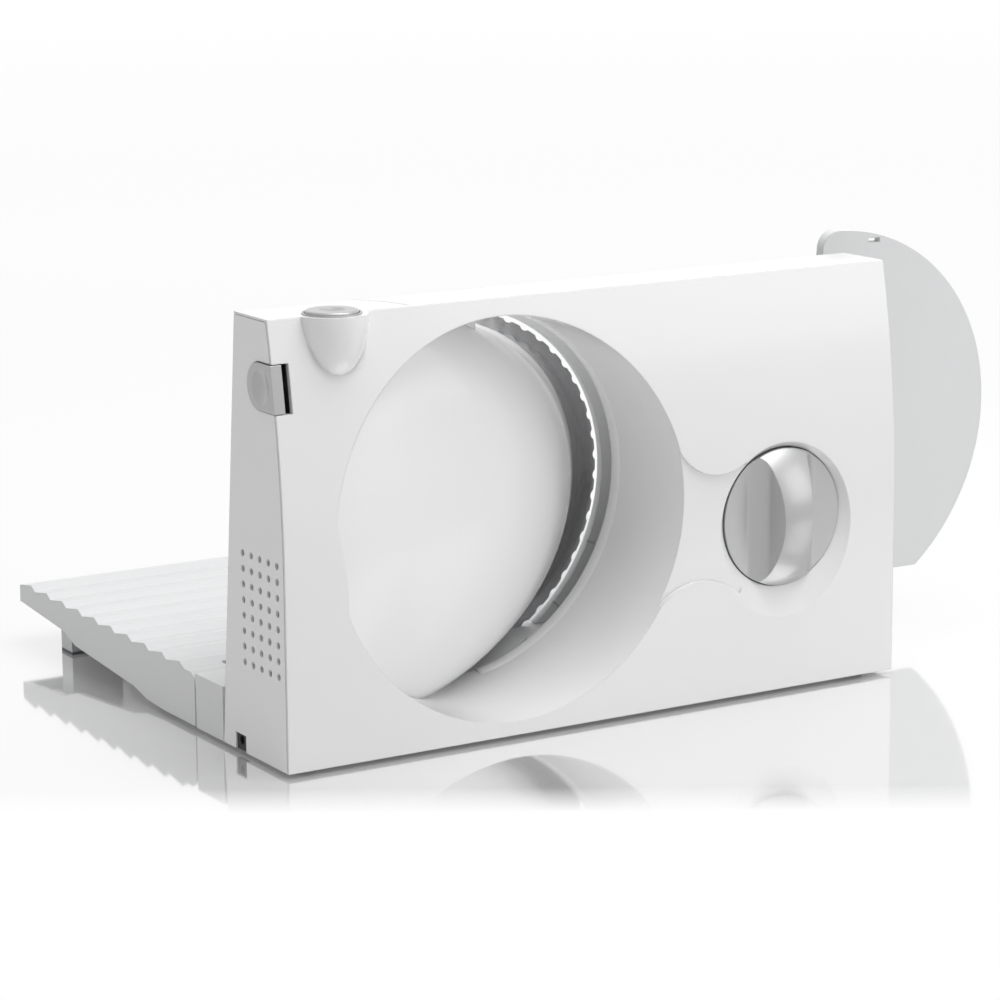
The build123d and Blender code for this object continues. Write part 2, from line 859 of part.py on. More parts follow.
keep(rear_housing.part, "rear_housing")

# Base tray: the floor under the housing, the sill behind it and the hinge lugs
with BuildPart() as base_tray:
    with BuildSketch(level_plane(0)):
        with Locations((length / 2, (depth + panel_gap + sill_back) / 2)):
            Rectangle(length, sill_back - depth - panel_gap)
    extrude(amount=sill_height)
    with BuildSketch(level_plane(-overrun)):
        with Locations((length / 2, (depth + panel_gap + sill_back) / 2)):
            Rectangle(length - 2 * wall, sill_back - depth - panel_gap - 2 * wall)
    extrude(amount=overrun + sill_height - wall, mode=Mode.SUBTRACT)
    with BuildSketch(level_plane(0)):
        with Locations(
            (foot_floor_length / 2, (depth + sill_back) / 2),
            (length - foot_floor_length / 2, (depth + sill_back) / 2),
        ):
            Rectangle(foot_floor_length, sill_back - depth - 2 * panel_gap)
    extrude(amount=tray_thickness)
    with BuildSketch(level_plane(0)):
        with Locations((length / 2, (wall + seam_gap + depth + wall) / 2)):
            Rectangle(length - 2 * (wall + seam_gap), depth - seam_gap)
    extrude(amount=tray_thickness)
    with BuildSketch(drive_plane(sill_back + overrun)):
        with Locations((blade_x, blade_z)):
            Circle(blade_radius + blade_slot_gap + wall)
    extrude(amount=sill_back + overrun - lip_station + wall)
    with BuildSketch(drive_plane(sill_back + overrun)):
        with Locations((lip_right - lip_radius, lip_z)):
            Circle(lip_radius + panel_gap + wall)
    extrude(amount=sill_back + overrun - depth)
    with BuildSketch(end_plane(0)):
        with Locations(((depth + panel_gap + sill_back) / 2, sill_height / 2)):
            Rectangle(sill_back - depth - panel_gap, sill_height)
        with Locations(((wall + seam_gap + sill_back) / 2, tray_thickness / 2)):
            Rectangle(sill_back - wall - seam_gap, tray_thickness)
    extrude(amount=length, mode=Mode.INTERSECT)
    with BuildSketch(drive_plane(sill_back + overrun)):
        with Locations((blade_x, blade_z)):
            Circle(blade_radius + blade_slot_gap)
    extrude(amount=sill_back + overrun - lip_station, mode=Mode.SUBTRACT)
    with BuildSketch(drive_plane(sill_back + overrun)):
        with Locations((lip_right - lip_radius, lip_z)):
            Circle(lip_radius + panel_gap)
    extrude(amount=sill_back + overrun - depth + wall, mode=Mode.SUBTRACT)
    for x in lug_places:
        with BuildSketch(end_plane(x)):
            with Locations((hinge_y, hinge_z)):
                Circle(lug_radius)
            with Locations(((sill_back - wall + hinge_y) / 2, hinge_z)):
                Rectangle(hinge_y - sill_back + wall, 2 * lug_radius)
            with Locations((hinge_y, hinge_z)):
                Circle(hinge_pin_radius + fit_gap, mode=Mode.SUBTRACT)
        extrude(amount=lug_width)
    for x, y in base_boss_places:
        with BuildSketch(level_plane(0)):
            with Locations((x, y)):
                Circle(screw_radius + fit_gap)
        extrude(amount=tray_thickness, mode=Mode.SUBTRACT)
        with BuildSketch(level_plane(0)):
            with Locations((x, y)):
                Circle(screw_head_radius + seam_gap)
        extrude(amount=screw_head_height, mode=Mode.SUBTRACT)
keep(base_tray.part, "base_tray")

# Rubber feet under the tray and the sill
foot_places = (
    (foot_inset, foot_inset),
    (length - foot_inset, foot_inset),
    (foot_inset, foot_back_y),
    (length - foot_inset, foot_back_y),
)
with BuildPart() as housing_feet:
    with BuildSketch(level_plane(-foot_height)):
        with Locations(*foot_places):
            Circle(foot_radius)
    extrude(amount=foot_height)
keep(housing_feet.part, "housing_feet")

# Screws that close the tray and the cover
with BuildPart() as base_screws:
    for place in base_boss_places:
        put_screw(level_plane(screw_head_height), place, screw_length, -1)
keep(base_screws.part, "base_screws")

with BuildPart() as cover_screws:
    for x, z in cover_boss_places:
        seat = depth_at(depth, z) - screw_head_height / 2 - seam_gap
        put_screw(front_plane(seat), (x, z), screw_length, -1)
keep(cover_screws.part, "cover_screws")

# Drum plate: closes the drum, holds the blade's bearing, the motor's saddles and the worm's upper bearing
with BuildPart() as plate_limit:
    ramp_loft(wall + panel_gap)

with BuildPart() as drum_plate:
    with BuildSketch(drive_plane(lip_station)):
        with Locations((lip_right - lip_radius, lip_z)):
            Circle(lip_radius - wall - panel_gap)
    extrude(amount=plate_thickness)
    add(plate_limit.part, mode=Mode.INTERSECT)
    with BuildSketch(drive_plane(lip_station)):
        with Locations((blade_x, blade_z)):
            Circle(bearing_boss_radius)
    extrude(amount=plate_thickness + bearing_boss_length)
    with BuildSketch(drive_plane(lip_station - plate_thickness)):
        with Locations((worm_x, worm_block_z)):
            Rectangle(worm_block_width, worm_block_height)
    extrude(amount=lip_station - plate_thickness - gear_station)
    for v in (saddle_low_z, saddle_high_z):
        with BuildSketch(rise_plane(v)):
            with Locations((0, lip_station - plate_thickness - worm_station - saddle_height / 2)):
                Rectangle(2 * saddle_half_width, saddle_height)
            Circle(motor_radius + fit_gap, mode=Mode.SUBTRACT)
        extrude(amount=saddle_length)
    with BuildSketch(rise_plane(0)):
        Circle(rotor_radius + fit_gap)
    extrude(amount=height, mode=Mode.SUBTRACT)
    with BuildSketch(drive_plane(lip_station)):
        with Locations((blade_x, blade_z)):
            Circle(shaft_radius + bush_wall + fit_gap)
    extrude(amount=lip_station, mode=Mode.SUBTRACT)
    clamp_reach = motor_radius + fit_gap + clamp_thickness + clamp_foot / 2
    clamp_screw_z = clamp_low_z + clamp_width / 2
    clamp_places = ((worm_x - clamp_reach, clamp_screw_z), (worm_x + clamp_reach, clamp_screw_z))
    with BuildSketch(drive_plane(lip_station)):
        with Locations(*clamp_places, *[drum_place(angle) for angle in drum_boss_angles]):
            Circle(screw_radius + fit_gap)
    extrude(amount=plate_thickness, mode=Mode.SUBTRACT)
keep(drum_plate.part, "drum_plate")

with BuildPart() as drum_screws:
    for angle in drum_boss_angles:
        put_screw(drive_plane(lip_station), drum_place(angle), screw_length, -1)
keep(drum_screws.part, "drum_screws")

# Blade, its shaft, bush, lock and gear
with BuildPart() as shaft_bush:
    with BuildSketch(drive_plane(lip_station)):
        with Locations((blade_x, blade_z)):
            Circle(shaft_radius + bush_wall)
            Circle(shaft_radius + fit_gap, mode=Mode.SUBTRACT)
    extrude(amount=plate_thickness + bearing_boss_length)
keep(shaft_bush.part, "shaft_bush")

with BuildPart() as blade_shaft:
    with BuildSketch(drive_plane(blade_station - blade_thickness)):
        with Locations((blade_x, blade_z)):
            Circle(shaft_radius)
    extrude(amount=blade_station - blade_thickness - shaft_end_station)
    with BuildSketch(drive_plane(blade_station - blade_thickness)):
        with Locations((blade_x, blade_z)):
            Circle(hub_radius)
    extrude(amount=flange_thickness)
    with BuildSketch(drive_plane(blade_station + pilot_height)):
        with Locations((blade_x, blade_z)):
            Circle(pilot_radius)
    extrude(amount=pilot_height + blade_thickness)
keep(blade_shaft.part, "blade_shaft")

with BuildPart() as circular_blade:
    with BuildSketch(drive_plane(blade_station)):
        with Locations((blade_x, blade_z)):
            Circle(blade_radius)
            Circle(pilot_radius + fit_gap, mode=Mode.SUBTRACT)
            with PolarLocations(blade_radius + serration_radius - serration_depth, teeth_count):
                Circle(serration_radius, mode=Mode.SUBTRACT)
    extrude(amount=blade_thickness)
keep(circular_blade.part, "circular_blade")

with BuildPart() as blade_lock:
    with BuildSketch(drive_plane(blade_station)):
        with Locations((blade_x, blade_z)):
            Circle(lock_radius)
    extrude(amount=-lock_disc_height)
    with BuildSketch(drive_plane(blade_station)):
        with Locations((blade_x, blade_z)):
            Rectangle(2 * (lock_radius - wall), grip_width)
    extrude(amount=-lock_height)
    with BuildSketch(drive_plane(blade_station)):
        with Locations((blade_x, blade_z)):
            Circle(pilot_radius + fit_gap)
    extrude(amount=-(pilot_height + fit_gap), mode=Mode.SUBTRACT)
keep(blade_lock.part, "blade_lock")

gear_tip = gear_radius + gear_tip_rise
gear_root = gear_radius - gear_root_drop
tooth_corners = []
for tooth in range(gear_teeth):
    middle = radians(360 * tooth / gear_teeth)
    for reach, half in (
        (gear_root, -tooth_root_width / 2),
        (gear_tip, -tooth_tip_width / 2),
        (gear_tip, tooth_tip_width / 2),
        (gear_root, tooth_root_width / 2),
    ):
        turn = middle + half / reach
        tooth_corners.append((blade_x - reach * cos(turn), blade_z - reach * sin(turn)))
with BuildPart() as drive_gear:
    with BuildSketch(drive_plane(gear_station + gear_width)):
        with BuildLine():
            Polyline(*tooth_corners, close=True)
        make_face()
    extrude(amount=gear_width)
    with BuildSketch(drive_plane(lip_station - plate_thickness - bearing_boss_length - panel_gap)):
        with Locations((blade_x, blade_z)):
            Circle(gear_hub_radius)
    extrude(amount=gear_width)
    with BuildSketch(drive_plane(lip_station)):
        with Locations((blade_x, blade_z)):
            Circle(shaft_radius)
    extrude(amount=lip_station, mode=Mode.SUBTRACT)
keep(drive_gear.part, "drive_gear")

# Motor: rotor with its worm, armature, can, end cap and clamp
ridge_middle = (worm_root + worm_tip - fit_gap) / 2
ridge_pitch = 2 * pi * gear_radius / gear_teeth
ridge_start = blade_z - ridge_pitch * worm_turns / 2
with BuildPart() as worm_ridge_coil:
    with BuildLine() as ridge_path:
        Helix(ridge_pitch, ridge_pitch * worm_turns, ridge_middle)
    ridge_wound = rise_plane(ridge_start).location * ridge_path.line
    with BuildSketch(Plane(origin=ridge_wound @ 0, x_dir=(1, 0, 0), z_dir=ridge_wound % 0)) as ridge_face:
        Rectangle(worm_tip - worm_root + fit_gap, worm_ridge)
    sweep(ridge_face.sketch, path=ridge_wound, is_frenet=True)

with BuildPart() as rotor_shaft:
    with BuildSketch(rise_plane(rotor_low_z)):
        Circle(rotor_radius)
    extrude(amount=rotor_high_z - rotor_low_z)
    with BuildSketch(rise_plane(worm_low_z)):
        Circle(worm_root)
    extrude(amount=worm_length)
    add(worm_ridge_coil.part)
keep(rotor_shaft.part, "rotor_shaft")

with BuildPart() as motor_armature:
    with BuildSketch(rise_plane(armature_low_z)):
        Circle(armature_radius)
        Circle(rotor_radius, mode=Mode.SUBTRACT)
    extrude(amount=armature_length)
keep(motor_armature.part, "motor_armature")

with BuildPart() as motor_can:
    with BuildSketch(rise_plane(motor_low_z + motor_cap_length)):
        Circle(motor_radius)
    extrude(amount=motor_length - motor_cap_length)
    with BuildSketch(rise_plane(motor_low_z + motor_cap_length)):
        Circle(motor_radius - motor_wall)
    extrude(amount=motor_length - motor_cap_length - motor_wall, mode=Mode.SUBTRACT)
    with BuildSketch(rise_plane(motor_low_z)):
        Circle(rotor_radius + fit_gap)
    extrude(amount=motor_length, mode=Mode.SUBTRACT)
keep(motor_can.part, "motor_can")

with BuildPart() as motor_end_cap:
    with BuildSketch(rise_plane(motor_low_z)):
        Circle(motor_radius)
    extrude(amount=motor_cap_length)
    with BuildSketch(rise_plane(motor_low_z)):
        Circle(motor_radius - motor_wall)
    extrude(amount=motor_cap_length + motor_wall)
    with BuildSketch(rise_plane(rotor_low_z - panel_gap)):
        Circle(rotor_radius + fit_gap)
    extrude(amount=motor_length, mode=Mode.SUBTRACT)
keep(motor_end_cap.part, "motor_end_cap")

clamp_height = lip_station - plate_thickness - worm_station
with BuildPart() as motor_clamp:
    with BuildSketch(rise_plane(clamp_low_z)):
        Circle(motor_radius + fit_gap + clamp_thickness)
        with Locations((0, clamp_height / 2)):
            Rectangle(2 * (motor_radius + fit_gap + clamp_thickness), clamp_height)
        with Locations((0, clamp_height - clamp_thickness / 2)):
            Rectangle(2 * (motor_radius + fit_gap + clamp_thickness + clamp_foot), clamp_thickness)
        Circle(motor_radius + fit_gap, mode=Mode.SUBTRACT)
        with Locations((0, (lip_station - worm_station) / 2)):
            Rectangle(2 * (motor_radius + fit_gap), lip_station - worm_station, mode=Mode.SUBTRACT)
    extrude(amount=clamp_width)
    with BuildSketch(drive_plane(lip_station)):
        with Locations(*clamp_places):
            Circle(screw_radius + fit_gap)
    extrude(amount=lip_station, mode=Mode.SUBTRACT)
keep(motor_clamp.part, "motor_clamp")

with BuildPart() as clamp_screws:
    for place in clamp_places:
        put_screw(drive_plane(lip_station - plate_thickness - clamp_thickness), place, clamp_screw_length, 1)
keep(clamp_screws.part, "clamp_screws")

# Stop plate with its lobe, rod bosses and sighting slots
rod_places = ((rod_left_x, knob_z), (rod_right_x, knob_z))
with BuildSketch() as stop_face:
    with Locations((stop_x, stop_z)):
        Circle(stop_radius)
    with Locations(((split_x + stop_x) / 2, (stop_bottom + stop_low_top) / 2)):
        Rectangle(stop_x - split_x, stop_low_top - stop_bottom)
    with Locations((stop_x, stop_bottom - stop_radius / 2)):
        Rectangle(4 * stop_radius, stop_radius, mode=Mode.SUBTRACT)
    with Locations((stop_corner_x / 2, stop_low_top + height / 2)):
        Rectangle(stop_corner_x, height, mode=Mode.SUBTRACT)
    with Locations((blade_x, blade_z)):
        Circle(blade_radius + stop_left_gap, mode=Mode.SUBTRACT)
    fillet(stop_face.vertices().sort_by(Axis.Y)[-1], radius=stop_corner_round)
    with Locations((stop_slot_x, stop_slot_z)):
        Rectangle(stop_slot_width, stop_slot_height, mode=Mode.SUBTRACT)

with BuildPart() as stop_plate:
    with BuildSketch(drive_plane(stop_station)):
        add(stop_face.sketch)
    extrude(amount=stop_thickness)
    with BuildSketch(drive_plane(stop_station - stop_thickness)):
        add(stop_face.sketch)
        with Locations(((stop_corner_x + stop_lobe_right) / 2, stop_low_top + height / 2)):
            Rectangle(stop_lobe_right - stop_corner_x, height, mode=Mode.INTERSECT)
    extrude(amount=stop_pad_height)
    for angle in stop_rule_angles:
        reach = blade_radius + stop_left_gap - lap + stop_rule_length / 2
        place = (blade_x + reach * cos(radians(angle)), blade_z + reach * sin(radians(angle)))
        with BuildSketch(drive_plane(stop_station - stop_thickness)):
            with Locations(Location(place, angle)):
                Rectangle(stop_rule_length, stop_rule_width)
        extrude(amount=-stop_pad_height, mode=Mode.SUBTRACT)
    with BuildSketch(front_plane(rod_boss_front)):
        with Locations(*rod_places):
            Circle(rod_boss_radius)
    extrude(amount=-(rod_boss_back - rod_boss_front))
    with BuildSketch(front_plane(rod_boss_front)):
        with Locations(*rod_places):
            Circle(rod_radius)
    extrude(amount=-(rod_end - rod_boss_front), mode=Mode.SUBTRACT)
keep(stop_plate.part, "stop_plate")

with BuildPart() as fence_guide_rods:
    with BuildSketch(front_plane(crossbar_front + crossbar_depth)):
        with Locations(*rod_places):
            Circle(rod_radius)
            Circle(screw_radius, mode=Mode.SUBTRACT)
    extrude(amount=-(fence_screw_length - crossbar_depth))
    with BuildSketch(front_plane(crossbar_front + fence_screw_length)):
        with Locations(*rod_places):
            Circle(rod_radius)
    extrude(amount=-(rod_end - crossbar_front - fence_screw_length))
keep(fence_guide_rods.part, "fence_guide_rods")

with BuildPart() as fence_crossbar:
    with BuildSketch(front_plane(crossbar_front)):
        with Locations(((rod_left_x + rod_right_x) / 2, knob_z)):
            Rectangle(rod_right_x - rod_left_x + 2 * crossbar_overhang, crossbar_height)
        with Locations((knob_x, knob_z)):
            Circle(nut_radius + crossbar_depth / 2)
            Circle(nut_radius, mode=Mode.SUBTRACT)
        with Locations(*rod_places):
            Circle(screw_radius, mode=Mode.SUBTRACT)
    extrude(amount=-crossbar_depth)
keep(fence_crossbar.part, "fence_crossbar")

with BuildPart() as spindle_nut:
    with BuildSketch(front_plane(crossbar_front)):
        with Locations((knob_x, knob_z)):
            Circle(nut_radius)
            Circle(spindle_radius + fit_gap, mode=Mode.SUBTRACT)
    extrude(amount=-crossbar_depth)
keep(spindle_nut.part, "spindle_nut")

with BuildPart() as fence_screws:
    for place in rod_places:
        put_screw(front_plane(crossbar_front), place, fence_screw_length, 1)
keep(fence_screws.part, "fence_screws")

with BuildPart() as guide_bushes:
    with BuildSketch(front_plane(bush_front)):
        with Locations(*rod_places):
            Circle(bush_radius)
            Circle(rod_radius + fit_gap, mode=Mode.SUBTRACT)
    extrude(amount=-bush_length)
keep(guide_bushes.part, "guide_bushes")

# Thickness knob, its spindle and bush
crest_rise = knob_rim_y - knob_crest_y
dome_radius = (knob_radius * knob_radius + crest_rise * crest_rise) / (2 * crest_rise)
grip_slope = atan2(scoop_floor_y - knob_crest_y, grip_foot_half_width - grip_half_width)
scoop_reach = knob_radius + overrun
scoop_slope = atan2(scoop_floor_y - scoop_rim_y, scoop_reach - grip_foot_half_width)
scoop_tangent = scoop_round * tan((grip_slope + scoop_slope) / 2)


def scoop_outline(way):
    """The hollow beside the grip: the grip's drafted wall, a round foot and a floor that rises to the rim."""
    wall_end = (
        way * (grip_foot_half_width - scoop_tangent * cos(grip_slope)),
        scoop_floor_y - scoop_tangent * sin(grip_slope),
    )
    floor_start = (
        way * (grip_foot_half_width + scoop_tangent * cos(scoop_slope)),
        scoop_floor_y - scoop_tangent * sin(scoop_slope),
    )
    with BuildLine() as outline:
        Line((way * (grip_half_width - overrun / tan(grip_slope)), knob_crest_y - overrun), wall_end)
        TangentArc(wall_end, floor_start, tangent=(way * cos(grip_slope), sin(grip_slope)))
        Polyline(
            floor_start,
            (way * scoop_reach, scoop_rim_y),
            (way * scoop_reach, knob_crest_y - overrun),
            (way * (grip_half_width - overrun / tan(grip_slope)), knob_crest_y - overrun),
        )
    make_face(outline.edges())


with BuildPart() as thickness_knob:
    with BuildSketch(front_plane(knob_back_y)):
        with Locations((knob_x, knob_z)):
            Circle(knob_radius)
    extrude(amount=knob_back_y - knob_crest_y + overrun)
    with Locations((knob_x + origin_x, knob_crest_y + dome_radius + origin_y, knob_z + origin_z)):
        Sphere(dome_radius, mode=Mode.INTERSECT)
    for way in (-1, 1):
        with BuildSketch() as scoop:
            scoop_outline(way)
        with BuildSketch(level_plane(knob_z - scoop_reach)):
            with Locations((knob_x, 0)):
                add(scoop.sketch)
        extrude(amount=2 * scoop_reach, mode=Mode.SUBTRACT)
    with BuildSketch(front_plane(knob_back_y)):
        with Locations((knob_x, knob_z)):
            Circle(knob_radius - wall)
            Circle(knob_hub_radius, mode=Mode.SUBTRACT)
    extrude(amount=knob_back_y - knob_pocket_y, mode=Mode.SUBTRACT)
    with BuildSketch(front_plane(knob_hub_end)):
        with Locations((knob_x, knob_z)):
            Circle(knob_hub_radius)
    extrude(amount=knob_hub_end - knob_back_y)
    with BuildSketch(front_plane(knob_hub_end)):
        with Locations((knob_x, knob_z)):
            Circle(spindle_radius)
    extrude(amount=knob_hub_end - spindle_start, mode=Mode.SUBTRACT)
keep(thickness_knob.part, "thickness_knob")

with BuildPart() as knob_spindle:
    with BuildSketch(front_plane(spindle_start)):
        with Locations((knob_x, knob_z)):
            Circle(spindle_radius)
    extrude(amount=-(spindle_end - spindle_start))
keep(knob_spindle.part, "knob_spindle")

with BuildPart() as spindle_bush:
    with BuildSketch(front_plane(recess_floor_y)):
        with Locations((knob_x, knob_z)):
            Circle(spindle_bush_radius)
            Circle(spindle_radius + fit_gap, mode=Mode.SUBTRACT)
    extrude(amount=-(recess_boss_end - recess_floor_y))
keep(spindle_bush.part, "spindle_bush")

# Power button with its ring, spring, switch and bracket
with BuildPart() as power_button_ring:
    with BuildSketch(level_plane(height + power_ring_height)):
        with Locations((power_x, power_y)):
            Circle(power_radius)
            Circle(power_cap_radius + panel_gap, mode=Mode.SUBTRACT)
    extrude(amount=-(power_ring_height + power_ring_depth))
keep(power_button_ring.part, "power_button_ring")

cap_top = height + power_cap_height
dimple_ball = (power_dimple_radius * power_dimple_radius + power_dimple_depth * power_dimple_depth) / (
    2 * power_dimple_depth
)
with BuildPart() as power_button:
    with BuildSketch(level_plane(cap_top)):
        with Locations((power_x, power_y)):
            Circle(power_cap_radius)
    extrude(amount=-(power_cap_height + power_cap_depth))
    fillet(power_button.edges().sort_by(Axis.Z)[-1], radius=power_cap_round)
    with BuildSketch(level_plane(height)):
        with Locations((power_x, power_y)):
            Circle(power_stem_radius)
    extrude(amount=-(height - power_stem_end))
    ball_z = cap_top - power_dimple_depth + dimple_ball
    with Locations((power_x + origin_x, power_y + origin_y, ball_z + origin_z)):
        Sphere(dimple_ball, mode=Mode.SUBTRACT)
keep(power_button.part, "power_button")

power_spring_low = height - power_spring_depth + spring_wire_radius
with BuildPart() as power_button_spring:
    coil(
        Plane(origin=(power_x + origin_x, power_y + origin_y, power_spring_low + origin_z)),
        spring_coil_radius,
        spring_wire_radius,
        power_spring_depth - power_cap_depth - 2 * spring_wire_radius,
        spring_turns,
    )
keep(power_button_spring.part, "power_button_spring")

with BuildPart() as power_switch:
    with BuildSketch(level_plane(switch_low)):
        with Locations((power_x, switch_front + switch_length / 2)):
            Rectangle(switch_width, switch_length)
    extrude(amount=switch_height)
keep(power_switch.part, "power_switch")

bracket_right = power_x + switch_width / 2
with BuildPart() as switch_bracket:
    with BuildSketch(level_plane(switch_low - bracket_thickness)):
        with Locations(((wall + bracket_right) / 2, switch_front + switch_length / 2)):
            Rectangle(bracket_right - wall, switch_length)
    extrude(amount=bracket_thickness)
    with BuildSketch(level_plane(switch_low - bracket_drop)):
        with Locations((wall + bracket_thickness / 2, switch_front + switch_length / 2)):
            Rectangle(bracket_thickness, switch_length)
    extrude(amount=bracket_drop)
keep(switch_bracket.part, "switch_bracket")

# Safety button with its guide, spring and switch
safety_dimple_ball = (
    safety_dimple_radius * safety_dimple_radius + safety_dimple_depth * safety_dimple_depth
) / (2 * safety_dimple_depth)
with BuildPart() as safety_button:
    with BuildSketch(end_plane(-safety_proud)):
        safety_outline(0)
    extrude(amount=safety_proud + safety_depth)
    with BuildSketch(end_plane(-overrun)):
        housing_outline(0, 0, 0)
    extrude(amount=length, mode=Mode.INTERSECT)
    with BuildSketch(end_plane(safety_depth)):
        with Locations((safety_y, safety_z)):
            Circle(safety_stem_radius)
    extrude(amount=safety_stem_length)
    with Locations(
        (
            safety_dimple_depth - safety_proud - safety_dimple_ball + origin_x,
            safety_y - safety_dimple_shift + origin_y,
            safety_z + origin_z,
        )
    ):
        Sphere(safety_dimple_ball, rotation=(0, 0, 180), mode=Mode.SUBTRACT)
keep(safety_button.part, "safety_button")

with BuildPart() as safety_button_guide:
    with BuildSketch(end_plane(wall)):
        with Locations(((guide_front + guide_back) / 2, (guide_low + guide_high) / 2)):
            Rectangle(guide_back - guide_front, guide_high - guide_low)
    extrude(amount=guide_end - wall)
    with BuildSketch(end_plane(0)):
        housing_outline(wall + panel_gap, wall + panel_gap, wall + panel_gap)
    extrude(amount=length, mode=Mode.INTERSECT)
    with BuildSketch(end_plane(-overrun)):
        safety_outline(panel_gap)
    extrude(amount=overrun + safety_depth + safety_travel + panel_gap, mode=Mode.SUBTRACT)
    with BuildSketch(end_plane(0)):
        with Locations((safety_y, safety_z)):
            Circle(safety_stem_radius + fit_gap)
    extrude(amount=guide_end, mode=Mode.SUBTRACT)
    with BuildSketch(end_plane(0)):
        with Locations((safety_y, safety_z)):
            Circle(spring_pocket_radius)
    extrude(amount=safety_spring_end, mode=Mode.SUBTRACT)
    with BuildSketch(end_plane(guide_end - shelf_thickness)):
        with Locations((safety_switch_front + safety_switch_depth / 2, guide_low + shelf_thickness / 2)):
            Rectangle(safety_switch_depth, shelf_thickness)
    extrude(amount=safety_switch_left + switch_width - guide_end + shelf_thickness)
keep(safety_button_guide.part, "safety_button_guide")

safety_spring_low = safety_depth + spring_wire_radius
with BuildPart() as safety_button_spring:
    coil(
        Plane(
            origin=(safety_spring_low + origin_x, safety_y + origin_y, safety_z + origin_z),
            x_dir=(0, 1, 0),
            z_dir=(1, 0, 0),
        ),
        spring_coil_radius,
        spring_wire_radius,
        safety_spring_end - safety_depth - 2 * spring_wire_radius,
        spring_turns,
    )
keep(safety_button_spring.part, "safety_button_spring")

with BuildPart() as safety_switch:
    with BuildSketch(level_plane(guide_low + shelf_thickness)):
        switch_place = (safety_switch_left + switch_width / 2, safety_switch_front + safety_switch_depth / 2)
        with Locations(switch_place):
            Rectangle(switch_width, safety_switch_depth)
    extrude(amount=safety_switch_height)
keep(safety_switch.part, "safety_switch")

# Mains parts on the tray
with BuildPart() as terminal_block:
    with BuildSketch(level_plane(tray_thickness)):
        with Locations((terminal_x, terminal_y)):
            Rectangle(terminal_length, terminal_width)
    extrude(amount=terminal_height)
keep(terminal_block.part, "terminal_block")

with BuildPart() as suppression_capacitor:
    with BuildSketch(level_plane(tray_thickness)):
        with Locations((capacitor_x, capacitor_y)):
            Rectangle(capacitor_length, capacitor_width)
    extrude(amount=capacitor_height)
keep(suppression_capacitor.part, "suppression_capacitor")

grommet_y = notch_front + notch_width / 2
with BuildPart() as cord_grommet:
    with BuildSketch(end_plane(grommet_inset)):
        with Locations((grommet_y, notch_height / 2)):
            Rectangle(notch_width - 2 * seam_gap, notch_height - 2 * seam_gap)
    extrude(amount=wall - grommet_inset)
    with BuildSketch(end_plane(wall)):
        with Locations((grommet_y, (tray_thickness + seam_gap + notch_height + grommet_flange) / 2)):
            Rectangle(
                notch_width + 2 * grommet_flange, notch_height + grommet_flange - tray_thickness - seam_gap
            )
    extrude(amount=grommet_flange)
    with BuildSketch(end_plane(0)):
        with Locations((grommet_y, grommet_bore_z)):
            Circle(grommet_bore)
    extrude(amount=length, mode=Mode.SUBTRACT)
keep(cord_grommet.part, "cord_grommet")


# Food table, its hinge pins, legs and feet
def skin_under(y):
    """Height of the table top's underside at a depth."""
    return table_front_top - table_wall + table_rise * (y - rib_start) / (table_back - rib_start)


table_reach = table_back - table_front
rib_pitch = (table_back - rib_start) / rib_count
nose_y = hinge_y - hinge_nose_radius
rib_corners = []
for rib in range(rib_count):
    valley = rib_start + rib * rib_pitch
    crest = valley + rib_steep_share * rib_pitch
    rib_corners.append((valley, skin_under(valley) + table_wall))
    rib_corners.append((crest, skin_under(crest) + table_wall + rib_height))
rib_corners.append((table_back, skin_under(table_back) + table_wall))
skirt_corners = [(table_back, table_edge_low)]
for share, low in skirt_shares:
    skirt_corners.append((table_back - table_reach * share, low))
skirt_corners.append((nose_y, skirt_clear))
with BuildPart() as food_table:
    with BuildSketch(end_plane(0)):
        with BuildLine():
            Polyline(
                (nose_y, hinge_z),
                (hinge_y, hinge_z),
                (rib_start, hinge_z),
                *rib_corners,
                *skirt_corners,
                close=True,
            )
        make_face()
        with Locations((hinge_y, hinge_z)):
            Circle(hinge_nose_radius)
        with Locations(((hinge_y + rib_start) / 2, (hinge_z + table_front_top) / 2)):
            Rectangle(rib_start - hinge_y, table_front_top - hinge_z)
    extrude(amount=length)
    with BuildSketch(end_plane(table_wall)):
        with BuildLine():
            Polyline(
                (nose_y + table_wall, -overrun),
                (nose_y + table_wall, hinge_z),
                (hinge_y, skin_under(rib_start)),
                (rib_start, skin_under(rib_start)),
                (table_back - table_wall, skin_under(table_back - table_wall)),
                (table_back - table_wall, -overrun),
                close=True,
            )
        make_face()
    extrude(amount=length - 2 * table_wall, mode=Mode.SUBTRACT)
    for x in lug_places:
        for side in (x - lug_gap - knuckle_length, x + lug_width + lug_gap):
            with BuildSketch(end_plane(side)):
                with Locations((hinge_y, hinge_z)):
                    Circle(knuckle_radius)
            extrude(amount=knuckle_length)
        with BuildSketch(level_plane(-overrun)):
            with Locations((x + lug_width / 2, (sill_back + notch_back) / 2)):
                Rectangle(lug_width + 2 * lug_gap, notch_back - sill_back)
        extrude(amount=height, mode=Mode.SUBTRACT)
        with BuildSketch(end_plane(x - lug_gap - knuckle_length)):
            with Locations((hinge_y, hinge_z)):
                Circle(hinge_pin_radius + fit_gap)
        extrude(amount=lug_width + 2 * (lug_gap + knuckle_length), mode=Mode.SUBTRACT)
keep(food_table.part, "food_table")

with BuildPart() as hinge_pins:
    for x in lug_places:
        with BuildSketch(end_plane(x - lug_gap - knuckle_length)):
            with Locations((hinge_y, hinge_z)):
                Circle(hinge_pin_radius)
        extrude(amount=lug_width + 2 * (lug_gap + knuckle_length))
keep(hinge_pins.part, "hinge_pins")

